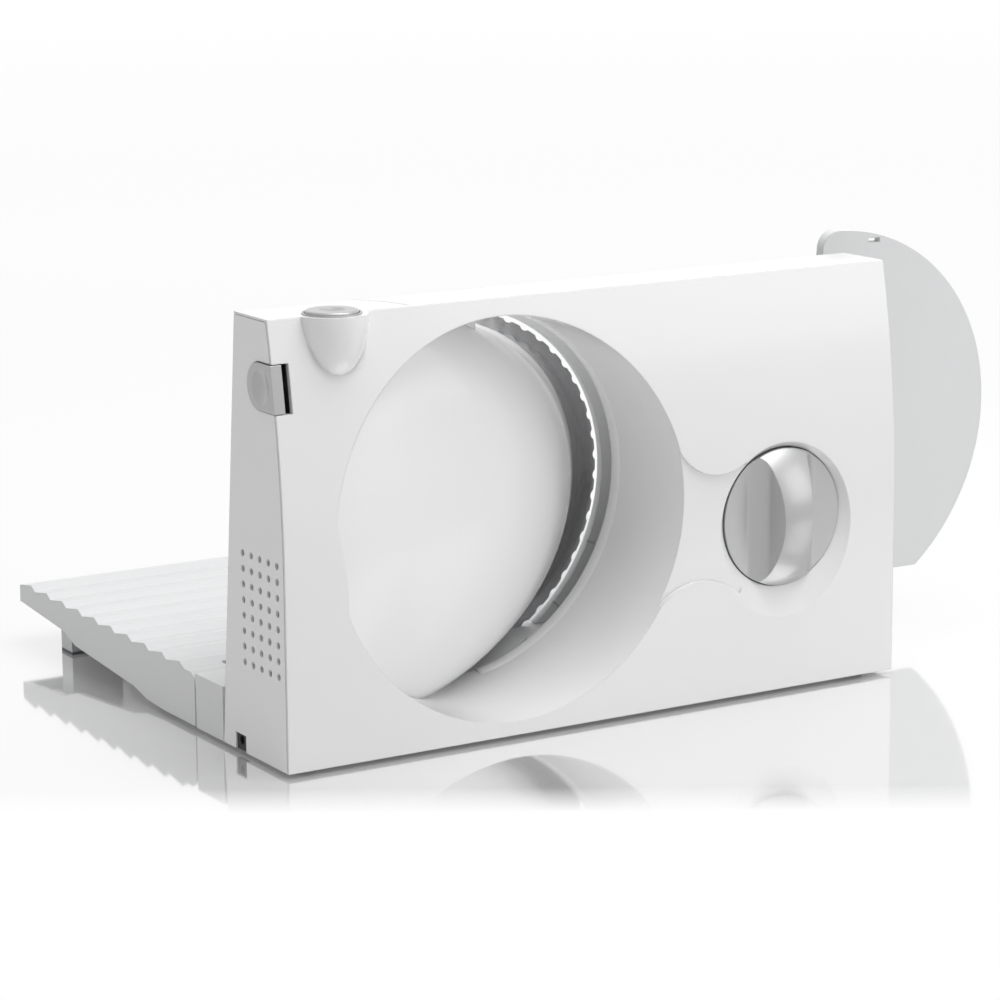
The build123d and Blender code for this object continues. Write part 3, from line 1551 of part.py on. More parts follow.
leg_places = (leg_inset, length - leg_inset - leg_length)
with BuildPart() as table_legs:
    for x in leg_places:
        with BuildSketch(end_plane(x)):
            with BuildLine():
                Polyline(
                    (leg_y - leg_width / 2, pad_thickness - foot_height),
                    (leg_y - leg_width / 2, skin_under(leg_y - leg_width / 2)),
                    (leg_y + leg_width / 2, skin_under(leg_y + leg_width / 2)),
                    (leg_y + leg_width / 2, pad_thickness - foot_height),
                    close=True,
                )
            make_face()
        extrude(amount=leg_length)
keep(table_legs.part, "table_legs")

with BuildPart() as table_feet:
    with BuildSketch(level_plane(-foot_height)):
        with Locations(*[(x + leg_length / 2, leg_y) for x in leg_places]):
            Rectangle(leg_length, leg_width)
    extrude(amount=pad_thickness)
keep(table_feet.part, "table_feet")
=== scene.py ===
import json
import math

import bmesh
import bpy
from mathutils import Matrix, Vector


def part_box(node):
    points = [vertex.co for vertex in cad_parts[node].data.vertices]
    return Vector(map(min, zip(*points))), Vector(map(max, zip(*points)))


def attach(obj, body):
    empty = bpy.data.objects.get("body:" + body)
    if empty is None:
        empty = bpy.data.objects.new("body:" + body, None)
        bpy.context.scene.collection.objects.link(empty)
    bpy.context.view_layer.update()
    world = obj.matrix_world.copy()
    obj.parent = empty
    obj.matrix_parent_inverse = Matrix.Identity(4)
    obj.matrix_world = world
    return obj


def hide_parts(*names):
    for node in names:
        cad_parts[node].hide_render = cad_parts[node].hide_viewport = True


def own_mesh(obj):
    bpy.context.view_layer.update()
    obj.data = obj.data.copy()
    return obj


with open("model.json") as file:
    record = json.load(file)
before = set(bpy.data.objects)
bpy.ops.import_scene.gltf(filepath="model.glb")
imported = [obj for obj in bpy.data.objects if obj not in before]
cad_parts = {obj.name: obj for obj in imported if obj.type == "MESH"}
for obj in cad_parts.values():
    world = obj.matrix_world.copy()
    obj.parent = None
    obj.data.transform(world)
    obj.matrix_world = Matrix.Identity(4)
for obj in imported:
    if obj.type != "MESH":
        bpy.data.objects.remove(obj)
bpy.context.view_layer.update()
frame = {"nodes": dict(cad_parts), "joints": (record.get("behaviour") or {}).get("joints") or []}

nodes = frame["nodes"]

# Housing: the front cover and the rear housing are thick glossy white moulded plastic, closed with screws
# from behind and below. The cover carries the dish, the knob's recess and the bulge under the power button.


def new_group(name, inputs, outputs):
    """An empty shader group with named value inputs and outputs."""
    group = bpy.data.node_groups.new(name, "ShaderNodeTree")
    for label, value in inputs:
        socket = group.interface.new_socket(label, in_out="INPUT", socket_type="NodeSocketFloat")
        socket.default_value = value
    for label in outputs:
        group.interface.new_socket(label, in_out="OUTPUT", socket_type="NodeSocketFloat")
    return group


def set_up(node, values):
    """Sets a node's input sockets by their names."""
    for label, value in values.items():
        node.inputs[label].default_value = value


def join_up(tree, *pairs):
    """Links sockets in pairs, the giving one first."""
    for giver, taker in pairs:
        tree.links.new(giver, taker)


moulded_skin = new_group("moulded_skin", [("Grain", 900.0), ("Flow", 9.0)], ["Peel", "Cloud"])
skin = moulded_skin.nodes
skin_in = skin.new("NodeGroupInput")
skin_out = skin.new("NodeGroupOutput")
skin_place = skin.new("ShaderNodeTexCoord")
for scale, detail, rough, out in (("Grain", 3.0, 0.5, "Peel"), ("Flow", 4.0, 0.45, "Cloud")):
    noise = skin.new("ShaderNodeTexNoise")
    set_up(noise, {"Detail": detail, "Roughness": rough})
    join_up(moulded_skin,
            (skin_place.outputs["Object"], noise.inputs["Vector"]),
            (skin_in.outputs[scale], noise.inputs["Scale"]),
            (noise.outputs["Fac"], skin_out.inputs[out]))


def moulded(name, dark, light, rough, grain=900.0, relief=0.00002, metallic=0.0, coat=0.0):
    """A moulded plastic or rubber: a slight cloud in its colour and gloss, and a fine peel in its skin."""
    material = bpy.data.materials.new(name)
    material.use_nodes = True
    tree = material.node_tree
    shader = tree.nodes["Principled BSDF"]
    surface = tree.nodes.new("ShaderNodeGroup")
    surface.node_tree = moulded_skin
    set_up(surface, {"Grain": grain})
    tint = tree.nodes.new("ShaderNodeMix")
    tint.data_type = "RGBA"
    set_up(tint, {"A": (*dark, 1.0), "B": (*light, 1.0)})
    gloss = tree.nodes.new("ShaderNodeMapRange")
    set_up(gloss, {"To Min": rough[0], "To Max": rough[1]})
    corners = tree.nodes.new("ShaderNodeBevel")
    corners.name = "corners"
    corners.samples = 4
    set_up(corners, {"Radius": 0.0006})
    bump = tree.nodes.new("ShaderNodeBump")
    set_up(bump, {"Strength": 0.3, "Distance": relief})
    join_up(tree,
            (surface.outputs["Cloud"], tint.inputs["Factor"]),
            (surface.outputs["Cloud"], gloss.inputs["Value"]),
            (surface.outputs["Peel"], bump.inputs["Height"]),
            (corners.outputs["Normal"], bump.inputs["Normal"]),
            (tint.outputs["Result"], shader.inputs["Base Color"]),
            (gloss.outputs["Result"], shader.inputs["Roughness"]),
            (bump.outputs["Normal"], shader.inputs["Normal"]))
    set_up(shader, {"Metallic": metallic, "Coat Weight": coat, "Coat Roughness": 0.06})
    return material


def dress(material, *names):
    """Gives CAD nodes a material."""
    for name in names:
        piece = nodes[name]
        piece.data.materials.clear()
        piece.data.materials.append(material)


gloss_white = moulded("gloss_white_plastic", (0.80, 0.80, 0.80), (0.84, 0.84, 0.84), (0.16, 0.24), coat=0.25)
dress(gloss_white, "front_cover", "rear_housing")

# Bulge under the power button: moulded in one with the cover, into whose front it runs softly, so the
# corners near it are rounded wider than those of the rest of the housing.
corner_x, corner_y, corner_z = -0.21375, -0.1325, 0.002


def from_corner(x, y, z):
    """A place measured from the housing's left front bottom corner, before the front leans."""
    return (x + corner_x, y + corner_y, z + corner_z)


def worked(tree, kind, operation):
    """A node that works its result out by that operation."""
    node = tree.nodes.new(kind)
    node.operation = operation
    return node


cover_tree = gloss_white.node_tree
bulge_place = cover_tree.nodes.new("ShaderNodeTexCoord")
bulge_reach = worked(cover_tree, "ShaderNodeVectorMath", "DISTANCE")
bulge_reach.inputs[1].default_value = from_corner(0.0315, 0.006, 0.170)
bulge_round = cover_tree.nodes.new("ShaderNodeMapRange")
bulge_round.interpolation_type = "SMOOTHSTEP"
set_up(bulge_round, {"From Min": 0.011, "From Max": 0.020, "To Min": 0.006, "To Max": 0.0008})
join_up(cover_tree,
        (bulge_place.outputs["Object"], bulge_reach.inputs[0]),
        (bulge_reach.outputs["Value"], bulge_round.inputs["Value"]),
        (bulge_round.outputs["Result"], cover_tree.nodes["corners"].inputs["Radius"]))

# Food table, stop plate and base tray: satin pale grey plastic, the table ribbed along its length so that food
# slides. The table turns on two steel pins and stands on two legs near its outer edge.
satin_grey = moulded("satin_grey_plastic", (0.69, 0.695, 0.70), (0.74, 0.745, 0.75), (0.28, 0.38), grain=1400.0)
dress(satin_grey, "food_table", "stop_plate", "table_legs", "base_tray")

# Stiffeners: thin ribs moulded under the table's skin, five from hinge to edge and two across them,
# which keep the wide flat moulding from bending under the food.
table_low, table_high = (Vector(corner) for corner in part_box("food_table"))
table_middle = (table_low + table_high) / 2
rib_wall = 0.0018
rib_drop = 0.007
rib_margin = 0.0045
rib_top = 0.0232
rib_pitch = 0.052
rib_setback = 0.006
rib_round = 0.0004
cross_rib_drop = 0.0001
cross_rib_inset = 0.04
cross_rib_places = (-0.03, 0.035)
rib_run = table_high.y - table_low.y - 2 * rib_margin - 2 * rib_setback
cross_rib_run = table_high.x - table_low.x - 2 * rib_margin - 2 * cross_rib_inset
sharp_turn = 0.8
stiffeners = bmesh.new()


def lay_rib(x, y, top, wide, deep, steps):
    """A flat strip where a rib hangs from, beside the table's middle."""
    strip = bmesh.ops.create_grid(stiffeners, x_segments=steps[0], y_segments=steps[1], size=0.5)["verts"]
    bmesh.ops.scale(stiffeners, verts=strip, vec=(wide, deep, 1.0))
    bmesh.ops.translate(stiffeners, verts=strip, vec=(table_middle.x + x, table_middle.y + y, top))


def corners_of(parts):
    """The corners among a mesh's parts."""
    return [part for part in parts if isinstance(part, bmesh.types.BMVert)]


def placed(data, name, material, smooth=True):
    """Makes a finished bmesh an object at the origin with one material."""
    bmesh.ops.recalc_face_normals(data, faces=data.faces)
    mesh = bpy.data.meshes.new(name)
    data.to_mesh(mesh)
    data.free()
    for face in mesh.polygons:
        face.use_smooth = smooth
    mesh.materials.append(material)
    piece = bpy.data.objects.new(name, mesh)
    bpy.context.scene.collection.objects.link(piece)
    return piece


for step in range(-2, 3):
    lay_rib(step * rib_pitch, rib_setback, rib_top, rib_wall, rib_run, (1, 8))
for reach in cross_rib_places:
    lay_rib(0.0, reach, rib_top - cross_rib_drop, cross_rib_run, rib_wall, (12, 1))
rib_feet = corners_of(bmesh.ops.extrude_face_region(stiffeners, geom=stiffeners.faces[:])["geom"])
bmesh.ops.translate(stiffeners, verts=rib_feet, vec=(0.0, 0.0, -rib_drop))
rib_feet = set(rib_feet)
foot_edges = [edge for edge in stiffeners.edges
              if rib_feet.issuperset(edge.verts) and edge.calc_face_angle(0.0) > sharp_turn]
bmesh.ops.bevel(stiffeners, geom=foot_edges, offset=rib_round, affect="EDGES", segments=2, profile=0.5, material=-1)
table_stiffeners = placed(stiffeners, "table_stiffeners", satin_grey, smooth=False)
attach(table_stiffeners, "table")

# Lip band: a flat rounded bead that finishes the dish's wall just before it opens through the housing's
# back, on the side towards the stop plate. It is pressed on.
blade_joint = next(joint for joint in frame["joints"] if joint["name"] == "blade_spin")
blade_centre = Vector(blade_joint["pos_m"])
blade_axis = Vector(blade_joint["axis"]).normalized()
housing_lean = math.atan2(blade_axis.z, blade_axis.y)
band_lean = 0.88 * housing_lean
band_place = Vector(from_corner(0.10940, 0.0561, 0.0))
band_rise = 0.09836
band_reach = 0.08595
band_thick = 0.0009
band_wide = 0.003
band_flare = math.radians(8.0)
band_turn = math.radians(79.0)
middle = (0.0, 0.0, 0.0)
band = bmesh.new()
band_ring = bmesh.ops.create_circle(band, cap_ends=True, segments=24, radius=1.0)["verts"]
bmesh.ops.scale(band, verts=band_ring, vec=(band_thick, band_wide, 1.0))
bmesh.ops.rotate(band, verts=band_ring, cent=middle, matrix=Matrix.Rotation(math.pi / 2, 3, "X"))
bmesh.ops.rotate(band, verts=band_ring, cent=middle, matrix=Matrix.Rotation(band_flare, 3, "Y"))
bmesh.ops.translate(band, verts=band_ring, vec=(band_reach, 0.0, 0.0))
bmesh.ops.rotate(band, verts=band_ring, cent=middle, matrix=Matrix.Rotation(-band_turn, 3, "Z"))
bmesh.ops.spin(band, geom=band.verts[:] + band.edges[:] + band.faces[:], cent=middle, axis=(0, 0, 1),
               angle=2 * band_turn, steps=120)
bmesh.ops.translate(band, verts=band.verts, vec=(0.0, band_rise, 0.0))
band_plane = Matrix.Translation(band_place) @ Matrix.Rotation(math.pi / 2 + band_lean, 4, "X")
bmesh.ops.transform(band, verts=band.verts, matrix=band_plane)
lip_band = placed(band, "lip_band", gloss_white)
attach(lip_band, "housing")

# Knob and buttons: moulded plastic with a fine silver lacquer, smooth to the thumb. The knob and the blade's
# lock are turned by hand, the two buttons are pressed.
silver_lacquer = moulded("silver_lacquer", (0.38, 0.38, 0.385), (0.45, 0.45, 0.455), (0.26, 0.34), grain=2600.0,
                         metallic=0.5, coat=0.3)
dress(silver_lacquer, "thickness_knob", "power_button", "power_button_ring", "safety_button", "blade_lock")

# Feet and grommet: soft rubber, the feet grey so they leave no mark and moulded with a rounded foot and a
# hollow in the sole that grips, the grommet black.
grey_rubber = moulded("grey_rubber", (0.16, 0.16, 0.17), (0.2, 0.2, 0.21), (0.65, 0.8), relief=0.00005)
dress(grey_rubber, "housing_feet", "table_feet")
feet_low, feet_high = (Vector(corner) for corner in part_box("housing_feet"))
foot_radius = 0.006
foot_rise = feet_high.z - feet_low.z
foot_round = 0.0006
sole_rim = 0.0018
sole_slope = 0.0005
sole_hollow = 0.0006
hair = 0.00002
feet = bmesh.new()


def soles():
    """The large flat faces at the bottom of the feet."""
    return [face for face in feet.faces
            if len(face.verts) > 8 and face.calc_center_median().z < feet_low.z + hair]


for foot_x in (feet_low.x + foot_radius, feet_high.x - foot_radius):
    for foot_y in (feet_low.y + foot_radius, feet_high.y - foot_radius):
        foot = bmesh.ops.create_circle(feet, cap_ends=True, segments=48, radius=foot_radius)["verts"]
        bmesh.ops.translate(feet, verts=foot, vec=(foot_x, foot_y, feet_high.z))
foot_ends = corners_of(bmesh.ops.extrude_face_region(feet, geom=feet.faces[:])["geom"])
bmesh.ops.translate(feet, verts=foot_ends, vec=(0.0, 0.0, -foot_rise))
sole_edges = list({edge for face in soles() for edge in face.edges})
bmesh.ops.bevel(feet, geom=sole_edges, offset=foot_round, affect="EDGES", segments=3, profile=0.5, material=-1)
bmesh.ops.recalc_face_normals(feet, faces=feet.faces)
bmesh.ops.inset_region(feet, faces=soles(), thickness=sole_rim, depth=0.0)
bmesh.ops.inset_region(feet, faces=soles(), thickness=sole_slope, depth=-sole_hollow)
rubber_feet = placed(feet, "rubber_feet", grey_rubber)
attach(rubber_feet, "housing")
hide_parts("housing_feet")
black_rubber = moulded("black_rubber", (0.012, 0.012, 0.013), (0.02, 0.02, 0.022), (0.55, 0.7))
dress(black_rubber, "cord_grommet")

# Inside mouldings: plain grey, cream and black technical plastic, unpainted, with the mould's matte skin.
# The gear, bushes and switches are snapped or screwed to the drum's plate and to posts of the housing.
inner_grey = moulded("inner_grey_plastic", (0.56, 0.56, 0.55), (0.6, 0.6, 0.59), (0.45, 0.6))
dress(inner_grey, "drum_plate", "switch_bracket", "fence_crossbar")
cream_nylon = moulded("cream_nylon", (0.66, 0.62, 0.5), (0.72, 0.68, 0.57), (0.4, 0.55))
dress(cream_nylon, "drive_gear", "guide_bushes", "terminal_block")
black_nylon = moulded("black_nylon", (0.015, 0.015, 0.017), (0.03, 0.03, 0.032), (0.4, 0.5))
dress(black_nylon, "motor_end_cap", "power_switch", "safety_switch", "safety_button_guide")
yellow_film = moulded("yellow_film", (0.42, 0.34, 0.06), (0.5, 0.4, 0.08), (0.3, 0.4))
dress(yellow_film, "suppression_capacitor")

# Blade: stamped stainless steel on the drive gear's shaft, ground with fine rings on both sides, with a wavy
# edge that is ground to a thin polished bevel. From the bevel out to the teeth the steel's colour is painted lighter:
# a painted highlight along the edge.
blade_teeth = 54
blade_steps = blade_teeth * 12
blade_reach = 0.085
blade_bore = 0.00905
blade_grind = 0.0795
blade_thick = 0.0011
blade_tip = 0.00035
wave_radius = 0.0034
wave_depth = 0.0011
grind_wave = 0.0009
near = 0.0001

brushed_rings = new_group("brushed_rings", [("Lines", 5200.0)], ["Rings", "Reach"])
ring_nodes = brushed_rings.nodes
ring_in = ring_nodes.new("NodeGroupInput")
ring_out = ring_nodes.new("NodeGroupOutput")
ring_place = ring_nodes.new("ShaderNodeTexCoord")
ring_centre = ring_nodes.new("ShaderNodeMapping")
ring_centre.vector_type = "TEXTURE"
set_up(ring_centre, {"Location": blade_centre, "Rotation": (housing_lean, 0.0, 0.0)})
ring_flat = ring_nodes.new("ShaderNodeSeparateXYZ")
ring_join = ring_nodes.new("ShaderNodeCombineXYZ")
ring_reach = worked(brushed_rings, "ShaderNodeVectorMath", "LENGTH")
ring_noise = ring_nodes.new("ShaderNodeTexNoise")
ring_noise.noise_dimensions = "1D"
set_up(ring_noise, {"Detail": 3.0})
join_up(brushed_rings,
        (ring_place.outputs["Object"], ring_centre.inputs["Vector"]),
        (ring_centre.outputs["Vector"], ring_flat.inputs["Vector"]),
        (ring_flat.outputs["X"], ring_join.inputs["X"]),
        (ring_flat.outputs["Z"], ring_join.inputs["Z"]),
        (ring_join.outputs["Vector"], ring_reach.inputs[0]),
        (ring_reach.outputs["Value"], ring_noise.inputs["W"]),
        (ring_in.outputs["Lines"], ring_noise.inputs["Scale"]),
        (ring_noise.outputs["Fac"], ring_out.inputs["Rings"]),
        (ring_reach.outputs["Value"], ring_out.inputs["Reach"]))

blade_steel = bpy.data.materials.new("ground_blade_steel")
blade_steel.use_nodes = True
blade_tree = blade_steel.node_tree
blade_shader = blade_tree.nodes["Principled BSDF"]
blade_rings = blade_tree.nodes.new("ShaderNodeGroup")
blade_rings.node_tree = brushed_rings
blade_tint = blade_tree.nodes.new("ShaderNodeMix")
blade_tint.data_type = "RGBA"
set_up(blade_tint, {"A": (0.42, 0.42, 0.43, 1.0), "B": (0.62, 0.62, 0.63, 1.0)})
blade_gloss = blade_tree.nodes.new("ShaderNodeMapRange")
set_up(blade_gloss, {"To Min": 0.2, "To Max": 0.36})
# Painted highlight: the steel's colour is lightened from the ground bevel out to the teeth, standing in for the light
# they catch.
blade_edge_highlight = blade_tree.nodes.new("ShaderNodeMapRange")
set_up(blade_edge_highlight, {"From Min": 0.0785, "From Max": 0.0805, "To Min": 0.0, "To Max": 0.45})
# The fine rings' own tone plus the painted highlight at the edge.
blade_rings_and_highlight = worked(blade_tree, "ShaderNodeMath", "ADD")
blade_rings_and_highlight.use_clamp = True
join_up(blade_tree,
        (blade_rings.outputs["Reach"], blade_edge_highlight.inputs["Value"]),
        (blade_rings.outputs["Rings"], blade_rings_and_highlight.inputs[0]),
        (blade_edge_highlight.outputs["Result"], blade_rings_and_highlight.inputs[1]),
        (blade_rings_and_highlight.outputs["Value"], blade_tint.inputs["Factor"]),
        (blade_rings.outputs["Rings"], blade_gloss.inputs["Value"]),
        (blade_tint.outputs["Result"], blade_shader.inputs["Base Color"]),
        (blade_gloss.outputs["Result"], blade_shader.inputs["Roughness"]))
set_up(blade_shader, {"Metallic": 1.0})
dress(blade_steel, "circular_blade")

blade = bmesh.new()
section = [blade.verts.new((reach, 0.0, height)) for reach, height in (
    (blade_bore, 0.0), (blade_grind, 0.0), (blade_reach, 0.0),
    (blade_reach, blade_tip), (blade_grind, blade_thick), (blade_bore, blade_thick))]
section_edges = [blade.edges.new((section[i - 1], section[i])) for i in range(1, len(section))]
section_edges.append(blade.edges.new((section[-1], section[0])))
bmesh.ops.spin(blade, geom=section + section_edges, cent=middle, axis=(0, 0, 1), angle=2 * math.pi,
               steps=blade_steps, use_merge=True)
tooth_turn = 2 * math.pi / blade_teeth
for corner in blade.verts:
    reach = math.hypot(corner.co.x, corner.co.y)
    along = (math.atan2(corner.co.y, corner.co.x) + tooth_turn / 2) % tooth_turn - tooth_turn / 2
    gone = 0.0
    if reach > blade_reach - near:
        hollow = math.sqrt(max(0.0, wave_radius ** 2 - (along * reach) ** 2)) - wave_radius + wave_depth
        gone = max(0.0, hollow)
    elif reach > blade_grind - near and corner.co.z > blade_tip:
        gone = grind_wave * (1 + math.cos(2 * math.pi * along / tooth_turn))
    corner.co.xy *= (reach - gone) / reach
blade_up = Vector((0.0, -math.sin(housing_lean), math.cos(housing_lean)))
blade_plane = Matrix((Vector((1.0, 0.0, 0.0)), blade_up, -blade_axis)).transposed().to_4x4()
bmesh.ops.transform(blade, verts=blade.verts, matrix=Matrix.Translation(blade_centre) @ blade_plane)
serrated_blade = placed(blade, "serrated_blade", blade_steel, smooth=False)
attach(serrated_blade, "blade")
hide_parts("circular_blade")

# Shafts, rods and motor case: drawn and rolled steel, left bright. The shafts turn and the rods slide in
# bushes of the housing, and the motor's case is held by a clamp.
bright_steel = moulded("bright_steel", (0.5, 0.5, 0.51), (0.62, 0.62, 0.63), (0.22, 0.34), grain=1800.0, metallic=1.0)
dress(bright_steel, "base_screws", "cover_screws", "drum_screws", "clamp_screws", "fence_screws", "blade_shaft",
      "fence_guide_rods", "knob_spindle", "hinge_pins", "power_button_spring", "safety_button_spring",
      "rotor_shaft", "motor_can", "motor_clamp")

# Screws that show: bright steel with a domed head and a cross recess. Four hold the base tray from below and
# four the rear housing from behind.
head_radius = 0.0028
head_rise = 0.0016
head_round = 0.0006
cross_depth = 0.0009
cross_reach = 0.0015
cross_half = 0.00035
shank_radius = 0.0014
flat = 0.00001


def put_screws(name, node, seats, way, shank):
    """Cross-recessed screws on their seats: a domed head out along the way and a plain shank in."""
    screws = bmesh.new()
    bmesh.ops.create_circle(screws, cap_ends=True, segments=32, radius=head_radius)
    crown = corners_of(bmesh.ops.extrude_face_region(screws, geom=screws.faces[:])["geom"])
    bmesh.ops.translate(screws, verts=crown, vec=(0.0, 0.0, head_rise))
    crown_edges = [edge for edge in screws.edges if all(corner.co.z > head_rise / 2 for corner in edge.verts)]
    bmesh.ops.bevel(screws, geom=crown_edges, offset=head_round, affect="EDGES", segments=3, profile=0.5,
                    material=-1)
    for normal in ((1, 0, 0), (0, 1, 0)):
        for cut in (-cross_reach, -cross_half, cross_half, cross_reach):
            bmesh.ops.bisect_plane(screws, geom=screws.verts[:] + screws.edges[:] + screws.faces[:],
                                   plane_co=Vector(normal) * cut, plane_no=normal)
    cross = []
    for face in screws.faces:
        centre = face.calc_center_median()
        near_arm, far_arm = sorted((abs(centre.x), abs(centre.y)))
        if centre.z > head_rise - flat and near_arm < cross_half and far_arm < cross_reach:
            cross.append(face)
    sunk = corners_of(bmesh.ops.extrude_face_region(screws, geom=cross)["geom"])
    bmesh.ops.delete(screws, geom=cross, context="FACES_ONLY")
    bmesh.ops.translate(screws, verts=sunk, vec=(0.0, 0.0, -cross_depth))
    stem = bmesh.ops.create_circle(screws, cap_ends=True, segments=24, radius=shank_radius)["verts"]
    stem_face = [face for face in screws.faces if all(corner in stem for corner in face.verts)]
    tip = corners_of(bmesh.ops.extrude_face_region(screws, geom=stem_face)["geom"])
    bmesh.ops.translate(screws, verts=tip, vec=(0.0, 0.0, -shank))
    first = screws.verts[:] + screws.edges[:] + screws.faces[:]
    turn_out = Vector((0.0, 0.0, 1.0)).rotation_difference(Vector(way)).to_matrix().to_4x4()
    for seat in seats:
        twin = corners_of(bmesh.ops.duplicate(screws, geom=first)["geom"])
        bmesh.ops.transform(screws, verts=twin, matrix=Matrix.Translation(seat) @ turn_out)
    bmesh.ops.delete(screws, geom=corners_of(first), context="VERTS")
    piece = placed(screws, name, bright_steel, smooth=False)
    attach(piece, "housing")
    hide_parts(node)


base_low, base_high = (Vector(corner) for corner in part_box("base_screws"))
base_seat = base_low.z + head_rise
front_row = base_low.y + head_radius
back_row = base_high.y - head_radius
put_screws("tray_screws", "base_screws", [
    (base_low.x + head_radius, front_row, base_seat), (base_high.x - head_radius, front_row, base_seat),
    (0.060 + corner_x, back_row, base_seat), (0.235 + corner_x, back_row, base_seat)],
    (0, 0, -1), base_high.z - base_seat)
housing_depth = 0.0595
back_sink = 0.001
back_shank = 0.010
put_screws("back_screws", "cover_screws", [
    from_corner(x, housing_depth - z * math.sin(housing_lean) - back_sink, z)
    for x, z in ((0.012, 0.030), (0.014, 0.118), (0.308, 0.022), (0.308, 0.168))],
    (0, 1, 0), back_shank)

# Button springs: hard steel wire wound into four open coils, one under each button, which shorten as the
# button over them is pressed and push it out again.
coil_radius = 0.0044
wire_radius = 0.0005
end_room = 1.2 * wire_radius
coil_turns = 4
coil_steps = 48 * coil_turns


def put_spring(name, node, way):
    """A wound spring in its node's place, shortening the way the button goes, towards its fixed end."""
    low, high = (Vector(corner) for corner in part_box(node))
    way = Vector(way)
    length = abs((high - low).dot(way))
    fixed_end = (low + high) / 2 + way * length / 2
    coil = bmesh.new()
    wire = bmesh.ops.create_circle(coil, cap_ends=False, segments=16, radius=wire_radius)["verts"]
    bmesh.ops.rotate(coil, verts=wire, cent=middle, matrix=Matrix.Rotation(math.pi / 2, 3, "X"))
    bmesh.ops.translate(coil, verts=wire, vec=(coil_radius, 0.0, end_room))
    climb = (length - 2 * end_room) / coil_steps
    bmesh.ops.spin(coil, geom=coil.verts[:] + coil.edges[:], cent=middle, axis=(0, 0, 1),
                   angle=2 * math.pi * coil_turns, steps=coil_steps, dvec=(0.0, 0.0, climb))
    bmesh.ops.holes_fill(coil, edges=[edge for edge in coil.edges if edge.is_boundary])
    stand = Vector((0.0, 0.0, 1.0)).rotation_difference(-way).to_matrix().to_4x4()
    bmesh.ops.transform(coil, verts=coil.verts, matrix=Matrix.Translation(fixed_end) @ stand)
    spring = placed(coil, name, bright_steel)
    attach(spring, "housing")
    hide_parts(node)
    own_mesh(spring)


put_spring("power_spring_coil", "power_button_spring", (0, 0, -1))
put_spring("safety_spring_coil", "safety_button_spring", (1, 0, 0))

# Brass and copper: turned brass bushes and nut where something turns or slides, pressed into the housing,
# and the enamelled copper winding inside the motor.
turned_brass = moulded("turned_brass", (0.62, 0.42, 0.16), (0.72, 0.52, 0.22), (0.25, 0.36), metallic=1.0)
dress(turned_brass, "shaft_bush", "spindle_nut", "spindle_bush")
enamelled_copper = moulded("enamelled_copper", (0.5, 0.2, 0.09), (0.62, 0.28, 0.13), (0.3, 0.4), metallic=0.9)
dress(enamelled_copper, "motor_armature")

# Studio table: polished white, so that the slicer stands on its own mirror image and shadow. Measured along
# the way in which the camera looks, it fades to plain white just in front of the slicer.
floor_data = bmesh.new()
bmesh.ops.create_grid(floor_data, x_segments=1, y_segments=1, size=6.0)
floor_paint = bpy.data.materials.new("white_table")
floor_paint.use_nodes = True
floor = placed(floor_data, "floor", floor_paint, smooth=False)


def shown_rays(tree):
    """One where the camera, a gloss or a glass sees the background, and zero where it only lights the slicer."""
    rays = tree.nodes.new("ShaderNodeLightPath")
    seen = rays.outputs["Is Camera Ray"]
    for label in ("Is Glossy Ray", "Is Transmission Ray"):
        either = worked(tree, "ShaderNodeMath", "MAXIMUM")
        join_up(tree, (seen, either.inputs[0]), (rays.outputs[label], either.inputs[1]))
        seen = either.outputs["Value"]
    return seen


white = (1.0, 1.0, 1.0, 1.0)
away = (0.5219, 0.8530, 0.0)
fade_start = -0.238
fade_end = -0.272
floor_tree = floor_paint.node_tree
floor_shader = floor_tree.nodes["Principled BSDF"]
set_up(floor_shader, {"Base Color": (0.80, 0.80, 0.80, 1.0), "Roughness": 0.07, "Metallic": 0.62,
                      "Coat Weight": 1.0, "Coat Roughness": 0.04, "Emission Color": white})
floor_seen = shown_rays(floor_tree)
floor_lift = worked(floor_tree, "ShaderNodeMath", "MULTIPLY")
floor_lift.inputs[1].default_value = 0.1
floor_place = floor_tree.nodes.new("ShaderNodeTexCoord")
floor_along = worked(floor_tree, "ShaderNodeVectorMath", "DOT_PRODUCT")
floor_along.inputs[1].default_value = away
floor_front = floor_tree.nodes.new("ShaderNodeMapRange")
set_up(floor_front, {"From Min": fade_end, "From Max": fade_start, "To Min": 1.0, "To Max": 0.0})
floor_fade = worked(floor_tree, "ShaderNodeMath", "MULTIPLY")
floor_white = floor_tree.nodes.new("ShaderNodeEmission")
floor_mix = floor_tree.nodes.new("ShaderNodeMixShader")
join_up(floor_tree,
        (floor_seen, floor_lift.inputs[0]),
        (floor_lift.outputs["Value"], floor_shader.inputs["Emission Strength"]),
        (floor_place.outputs["Object"], floor_along.inputs[0]),
        (floor_along.outputs["Value"], floor_front.inputs["Value"]),
        (floor_seen, floor_fade.inputs[0]),
        (floor_front.outputs["Result"], floor_fade.inputs[1]),
        (floor_fade.outputs["Value"], floor_mix.inputs["Fac"]),
        (floor_shader.outputs["BSDF"], floor_mix.inputs[1]),
        (floor_white.outputs["Emission"], floor_mix.inputs[2]),
        (floor_mix.outputs["Shader"], floor_tree.nodes["Material Output"].inputs["Surface"]))

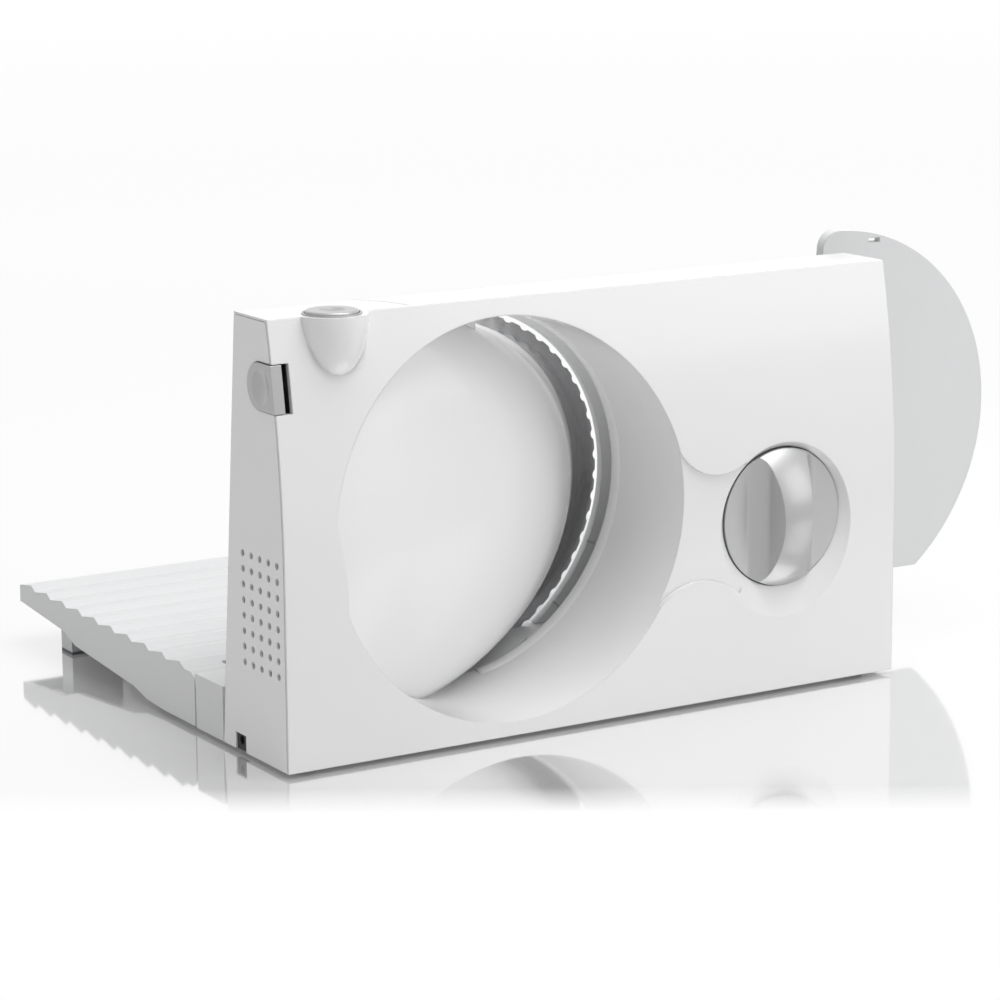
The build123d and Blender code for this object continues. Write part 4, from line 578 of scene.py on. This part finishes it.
# Sky and lamps: a plain sky that lights softly and shows white, one broad lamp above the slicer and a weaker
# one in front to its right.
world = bpy.data.worlds.new("white_sky")
world.use_nodes = True
bpy.context.scene.world = world
sky_tree = world.node_tree
sky = sky_tree.nodes["Background"]
set_up(sky, {"Color": white, "Strength": 0.5})
sky_shown = sky_tree.nodes.new("ShaderNodeBackground")
set_up(sky_shown, {"Color": white, "Strength": 1.0})
sky_mix = sky_tree.nodes.new("ShaderNodeMixShader")
join_up(sky_tree,
        (shown_rays(sky_tree), sky_mix.inputs["Fac"]),
        (sky.outputs["Background"], sky_mix.inputs[1]),
        (sky_shown.outputs["Background"], sky_mix.inputs[2]),
        (sky_mix.outputs["Shader"], sky_tree.nodes["World Output"].inputs["Surface"]))


def soft_lamp(name, place, aim, size, power):
    """A square soft lamp at a place, turned to a point."""
    light = bpy.data.lights.new(name, "AREA")
    light.shape = "SQUARE"
    light.size = size
    light.energy = power
    lamp = bpy.data.objects.new(name, light)
    lamp.location = place
    lamp.rotation_euler = (Vector(aim) - Vector(place)).to_track_quat("-Z", "Y").to_euler()
    bpy.context.scene.collection.objects.link(lamp)


soft_lamp("lamp_above", (0.3, -0.35, 1.6), (0.0, 0.0, 0.1), 1.4, 22.0)
soft_lamp("lamp_front", (1.0, -1.2, 0.7), (0.1, 0.0, 0.1), 0.9, 3.4)

# Camera: a long lens from the front left, a little above the slicer, solved from the edges of the housing
# in the photograph.
camera_place = (-0.84925, -1.34193, 0.41028)
camera_yaw = 0.54909
camera_pitch = 0.21032
camera_roll = -0.00602
camera_data = bpy.data.cameras.new("camera")
camera_data.sensor_width = 36.0
camera_data.lens = 121.93
camera_data.clip_end = 30.0
camera = bpy.data.objects.new("camera", camera_data)
bpy.context.scene.collection.objects.link(camera)
ahead = Vector((math.sin(camera_yaw) * math.cos(camera_pitch), math.cos(camera_yaw) * math.cos(camera_pitch),
                -math.sin(camera_pitch)))
across = Vector((math.cos(camera_yaw), -math.sin(camera_yaw), 0.0))
upward = across.cross(ahead)
rolled_across = across * math.cos(camera_roll) + upward * math.sin(camera_roll)
rolled_up = upward * math.cos(camera_roll) - across * math.sin(camera_roll)
turn = Matrix((rolled_across, rolled_up, -ahead)).transposed()
camera.matrix_world = Matrix.Translation(camera_place) @ turn.to_4x4()
bpy.context.scene.camera = camera
bpy.context.scene.view_settings.view_transform = "Standard"
